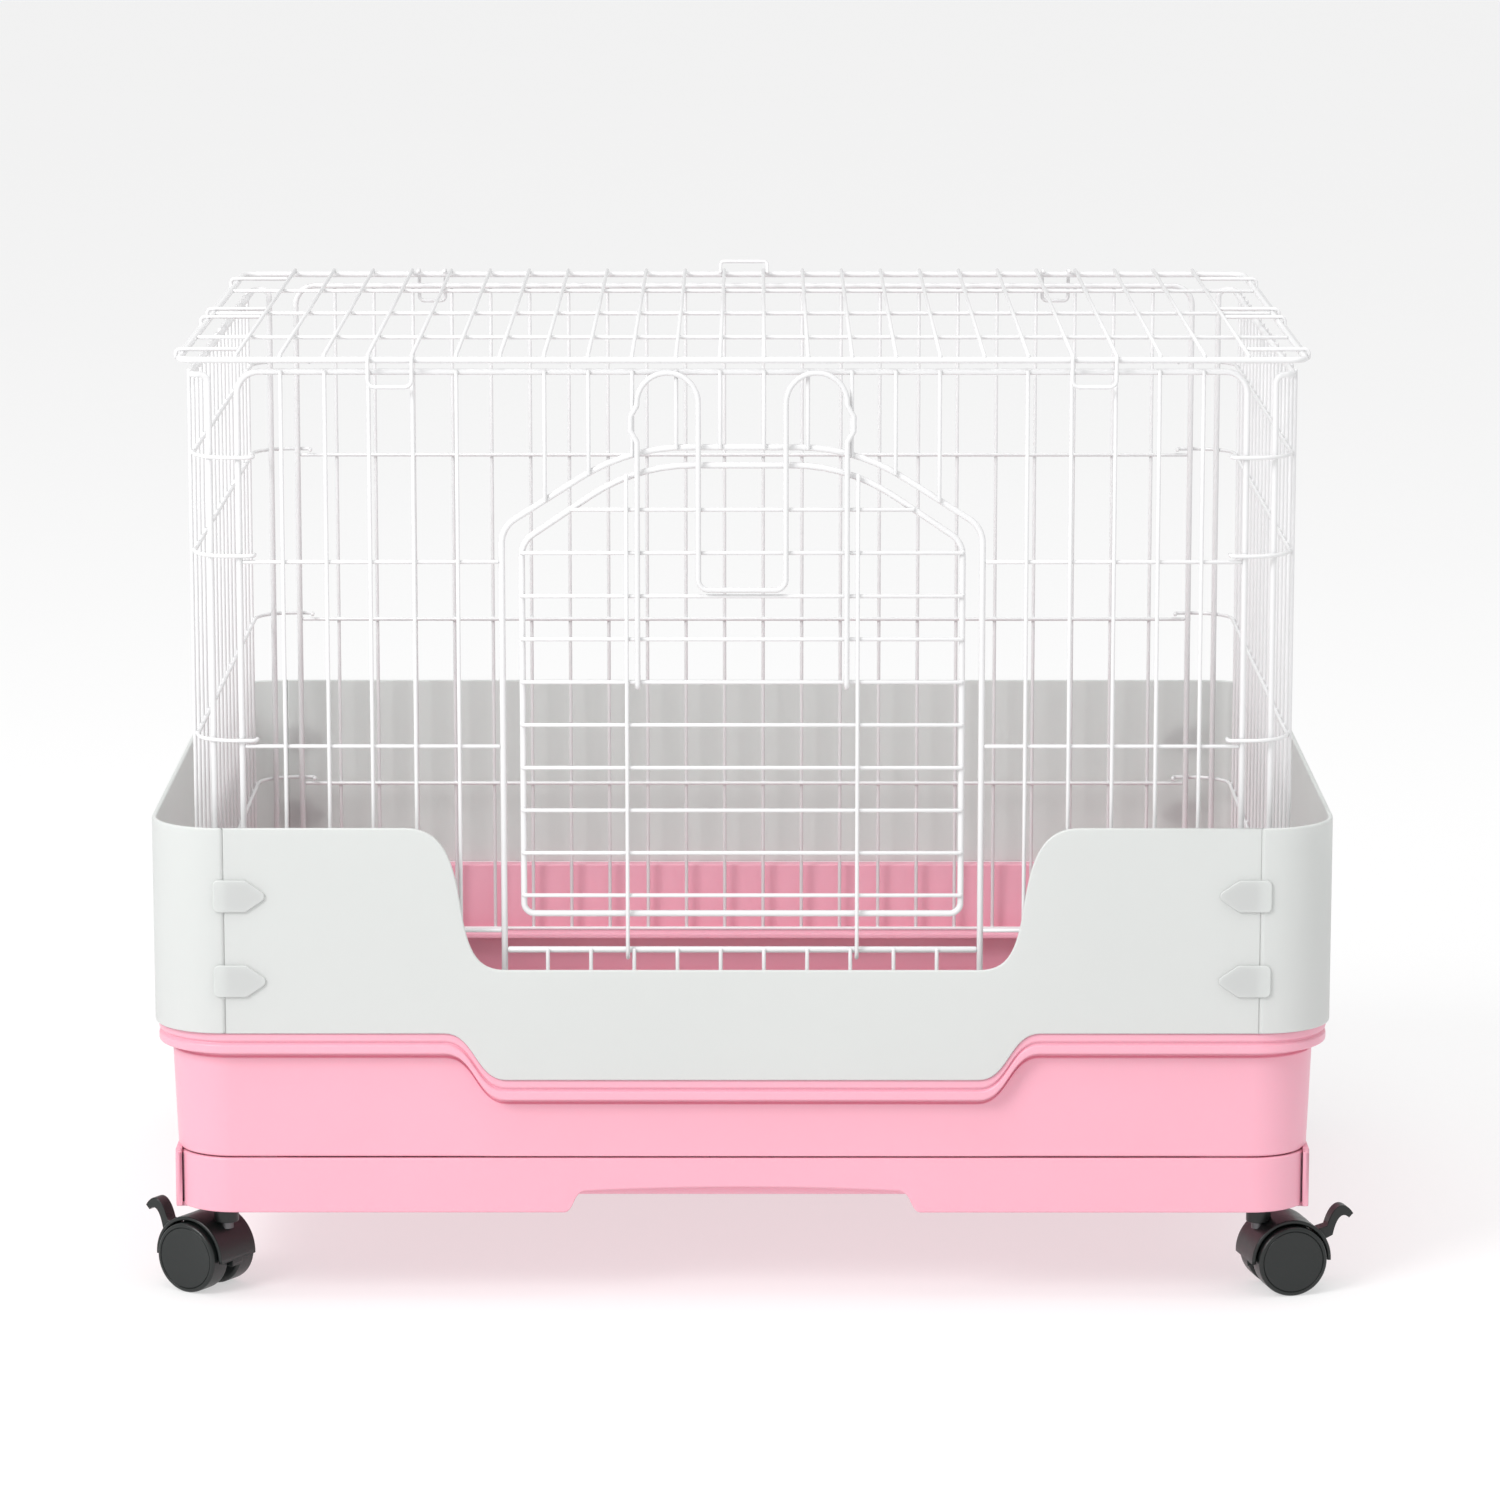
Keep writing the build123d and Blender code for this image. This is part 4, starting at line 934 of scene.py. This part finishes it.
# Outline of the front panel's wall as (outward, at its top, up by how many edges).
outline = (
    (SKIRT_OUTSET - edge, False, 0), (SKIRT_OUTSET - shoulder, False, 0.3),
    (SKIRT_OUTSET, False, 1), (SKIRT_OUTSET, True, -1),
    (SKIRT_OUTSET - shoulder, True, -0.3), (SKIRT_OUTSET - edge, True, 0),
    (edge - TUB_WALL, True, 0), (shoulder - TUB_WALL, True, -0.3),
    (-TUB_WALL, True, -1), (-TUB_WALL, False, 1),
    (shoulder - TUB_WALL, False, 0.3), (edge - TUB_WALL, False, 0),
)
stations = []
for lift, at_top, inset in outline:
    half_width, half_depth = TUB_HALF_WIDTH + lift, TUB_HALF_DEPTH + lift
    radius = TUB_CORNER + lift
    path = [(-half_width, DRAWER_FRONT_Y - PANEL_GAP)]
    path += corner_arc(half_width, half_depth, radius, 180, CORNER_PARTS)
    path += [(x, -half_depth) for x in GRIP_XS]
    path += corner_arc(half_width, half_depth, radius, 270, CORNER_PARTS)
    path += [(half_width, DRAWER_FRONT_Y - PANEL_GAP)]
    row = []
    for x, y in path:
        cut = knots(abs(x), GRIP) if abs(x) < GRIP_HALF_WIDTH else 0.0
        base = FRONT_TOP if at_top else FRONT_BOTTOM + cut
        row.append(Vector((x, y, base + inset * edge)))
    stations.append(row)
skin(bm, [[s[i] for s in stations] for i in range(len(stations[0]))], cap=True)

wall = 2.0
tray = [
    (-20, TRAY_BOTTOM, 0), (0, TRAY_BOTTOM, 0), (0, TRAY_TOP, 0),
    (-wall, TRAY_TOP, 0), (-wall, TRAY_BOTTOM + wall, 0), (-22, TRAY_BOTTOM + wall, 0),
]
tray_profile = bend(tray, [6.0, 0.8, 0.8, 4.0], step=30.0)
middle_y = (TRAY_FRONT + TRAY_BACK) / 2
half_depth = (TRAY_BACK - TRAY_FRONT) / 2
rings = []
for p in tray_profile:
    ring = whole_ring(TRAY_HALF_WIDTH + p.x, half_depth + p.x, max(1.0, 8.0 + p.x), [])
    rings.append([Vector((x, y + middle_y, p.y)) for x, y in ring])
skin(bm, rings, cap=True)
front_inner = -TUB_HALF_DEPTH + TUB_WALL - 0.5
# A web and four ribs join the panel to the tray.
bridge_back = TRAY_FRONT + 1
add_box(
    bm, (-TRAY_HALF_WIDTH, front_inner, WEB_LOW), (TRAY_HALF_WIDTH, bridge_back, WEB_HIGH)
)
for x in (-261.0, -130.0, 130.0, 261.0):
    add_box(bm, (x - 1, front_inner, TRAY_BOTTOM), (x + 1, bridge_back, WEB_LOW + 0.5))
piece(bm, "drawer_shell", "drawer", pink, ["drawer_tray"], flat=True)

# ---------------------------------------------------------------- castors
HOOD_OUTER, HOOD_INNER, HOOD_HALF_WIDTH, HOOD_FOOT = 23.3, 20.9, 16.0, 19.0
WEB_HALF_WIDTH = 4.5
LEVER_X, LEVER_Z = 33.5, 30.5
BORE = 2.2
STEM_BORE, BOSS_RADIUS = 4.0, 7.0
BOSS_LOW, BOSS_HIGH = 40.0, 47.5
PIN_BORE = 1.5
LEVER_WIDTH = 8.0


def hood_strip(bm, low, high, first, last, place, edge):
    """Part of the hood's curved shell between two sides and two angles."""
    outline = bend(
        [(HOOD_INNER, low, 0), (HOOD_OUTER, low, 0), (HOOD_OUTER, high, 0), (HOOD_INNER, high, 0)],
        edge, closed=True, step=20.0,
    )
    rings = []
    parts = max(4, int((last - first) / 6))
    for k in range(parts + 1):
        angle = math.radians(first + (last - first) * k / parts)
        x, z = math.cos(angle), math.sin(angle)
        rings.append([
            place @ Vector((WHEEL_TRAIL + p.x * x, p.y, WHEEL_RADIUS + p.x * z)) for p in outline
        ])
    skin(bm, rings, cap=True)


for corner, heading in HEADINGS.items():
    stem_x = CASTOR_X if "right" in corner else -CASTOR_X
    stem_y = CASTOR_Y if "rear" in corner else -CASTOR_Y
    turned = Matrix.Rotation(math.radians(heading), 4, "Z")
    place = Matrix.Translation((stem_x, stem_y, 0)) @ turned
    upright = place @ Matrix.Rotation(math.radians(90), 4, "X")
    sideways = Matrix.Rotation(math.radians(-90), 4, "X")
    hub = place @ Matrix.Translation((WHEEL_TRAIL, 0, WHEEL_RADIUS)) @ sideways

    bm = bmesh.new()
    low_angle = math.degrees(math.asin((HOOD_FOOT - WHEEL_RADIUS) / HOOD_OUTER))
    far_angle = 180 - low_angle
    joint = WEB_HALF_WIDTH + 1.2
    hood_strip(bm, WEB_HALF_WIDTH, HOOD_HALF_WIDTH, low_angle, far_angle, place, 1.0)
    hood_strip(bm, -HOOD_HALF_WIDTH, -WEB_HALF_WIDTH, low_angle, far_angle, place, 1.0)
    hood_strip(bm, -joint, joint, 57.0, far_angle, place, 0.3)
    web_radius = HOOD_OUTER - 0.5
    web = [(-7.2, 15.0), (37.2, 15.0), (37.8, 19.5), (27.5, 19.5), (27.5, 38.6)]
    for k in range(20):
        angle = math.radians(58 + (188 - 58) * k / 19)
        along = WHEEL_TRAIL + web_radius * math.cos(angle)
        web.append((along, WHEEL_RADIUS + web_radius * math.sin(angle)))
    add_plate(bm, web, 2 * WEB_HALF_WIDTH, 0.5, upright)
    boss = section(
        (
            (STEM_BORE, BOSS_LOW), (BOSS_RADIUS, BOSS_LOW),
            (BOSS_RADIUS, BOSS_HIGH), (STEM_BORE, BOSS_HIGH),
        ),
        0.5,
    )
    add_lathe(bm, boss, place)
    pin = [
        (0.01, -WHEEL_INNER), (1.1, -WHEEL_INNER), (1.4, -WHEEL_INNER + 0.3),
        (1.4, WHEEL_INNER - 0.3), (1.1, WHEEL_INNER), (0.01, WHEEL_INNER),
    ]
    pin_place = place @ Matrix.Translation((LEVER_X, 0, LEVER_Z)) @ sideways
    add_lathe(bm, pin, pin_place, 20)
    piece(
        bm, f"{corner}_hood_shell", f"{corner}_castor", black,
        [f"{corner}_hood"], flat=True,
    )

    # Tread with rounded shoulders, a thin ring groove and a slightly dished cap.
    half = [
        (BORE, WHEEL_INNER), (17.6, WHEEL_INNER), (18.6, WHEEL_INNER),
        (19.4, WHEEL_INNER + 0.4), (19.85, WHEEL_INNER + 1.0),
        (WHEEL_RADIUS, WHEEL_INNER + 1.8), (WHEEL_RADIUS, WHEEL_OUTER - 1.8),
        (19.85, WHEEL_OUTER - 1.0), (19.4, WHEEL_OUTER - 0.35),
        (18.7, WHEEL_OUTER), (17.9, WHEEL_OUTER),
        (17.7, WHEEL_OUTER - 0.15), (17.6, WHEEL_OUTER - 0.6),
        (17.3, WHEEL_OUTER - 0.6), (17.2, WHEEL_OUTER - 0.2),
        (16.9, WHEEL_OUTER - 0.1), (14.0, WHEEL_OUTER - 0.35), (9.0, WHEEL_OUTER - 0.6),
        (4.0, WHEEL_OUTER - 0.7), (0.01, WHEEL_OUTER - 0.7),
        (0.01, WHEEL_OUTER - 1.7), (BORE, WHEEL_OUTER - 1.7),
    ]
    for wheel, side, turn in (("a", "outer", -1), ("b", "inner", 1)):
        bm = bmesh.new()
        add_lathe(bm, [(r, turn * v) for r, v in half], hub, 64)
        piece(
            bm, f"{corner}_{side}_disc", f"{corner}_{side}_wheel", black,
            [f"{corner}_wheel_{wheel}"], flat=True,
        )

    bm = bmesh.new()
    under = bezier((43.0, 30.0, 0), (45.0, 40.0, 0), (48.5, 43.5, 0), (52.5, 39.5, 0), 12)
    over = bezier((55.0, 42.0, 0), (49.5, 50.5, 0), (43.0, 48.0, 0), (39.5, 35.5, 0), 14)
    lever = [(32.0, 26.8), (37.5, 27.5)] + [(p.x, p.y) for p in under + over]
    lever += [(35.0, 34.3), (30.5, 32.0)]
    hole = []
    for k in range(16):
        angle = k * math.pi / 8
        hole.append((LEVER_X + PIN_BORE * math.cos(angle), LEVER_Z + PIN_BORE * math.sin(angle)))
    add_plate(bm, lever, LEVER_WIDTH, 0.5, upright, holes=[hole], rounds=3)
    piece(
        bm, f"{corner}_brake_tab", f"{corner}_brake_lever", black,
        [f"{corner}_brake"], flat=True,
    )

for node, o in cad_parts.items():
    if node.endswith(("_stem", "_axle")) or node == "castor_sleeves":
        o.data.materials.clear()
        o.data.materials.append(steel)

# ---------------------------------------------------------------- studio
bm = bmesh.new()
bmesh.ops.create_grid(bm, x_segments=2, y_segments=2, size=14.0)
mesh = bpy.data.meshes.new("studio_floor")
bm.to_mesh(mesh)
bm.free()
floor = bpy.data.objects.new("studio_floor", mesh)
bpy.context.scene.collection.objects.link(floor)
paper, knobs = shader("studio_paper", (0.42, 0.42, 0.42), 0.85, 0.004, 0.03, 300.0, 0.01, 1.0)
knobs.inputs["Emission Color"].default_value = (1.0, 1.0, 1.0, 1.0)
knobs.inputs["Emission Strength"].default_value = 0.53
floor.data.materials.append(paper)

world = bpy.data.worlds.new("studio_world")
bpy.context.scene.world = world
world.use_nodes = True
sky = world.node_tree.nodes["Background"]
sky.inputs["Color"].default_value = (1.0, 1.0, 1.0, 1.0)
sky.inputs["Strength"].default_value = 0.75
bpy.context.scene.view_settings.view_transform = "Standard"


def soft_light(name, place, target, size, power):
    lamp = bpy.data.lights.new(name, "AREA")
    lamp.shape = "RECTANGLE"
    lamp.size, lamp.size_y = size
    lamp.energy = power
    holder = bpy.data.objects.new(name, lamp)
    holder.location = place
    holder.rotation_euler = (Vector(target) - Vector(place)).to_track_quat("-Z", "Y").to_euler()
    bpy.context.scene.collection.objects.link(holder)


soft_light("key_light", (-2.2, -2.5, 2.5), (0, 0, 0.25), (1.4, 1.4), 88.0)
soft_light("top_light", (0.2, -0.7, 3.0), (0, 0.1, 0.2), (2.2, 1.6), 26.0)

camera = bpy.data.objects.new("camera", bpy.data.cameras.new("camera"))
camera.location = (0.0077, -3.4761, 0.9316)
camera.rotation_euler = (math.radians(79.28), 0.0, math.radians(0.06))
camera.data.lens = 144.3
camera.data.sensor_width = 36.0
camera.data.clip_end = 60.0
bpy.context.scene.collection.objects.link(camera)
bpy.context.scene.camera = camera
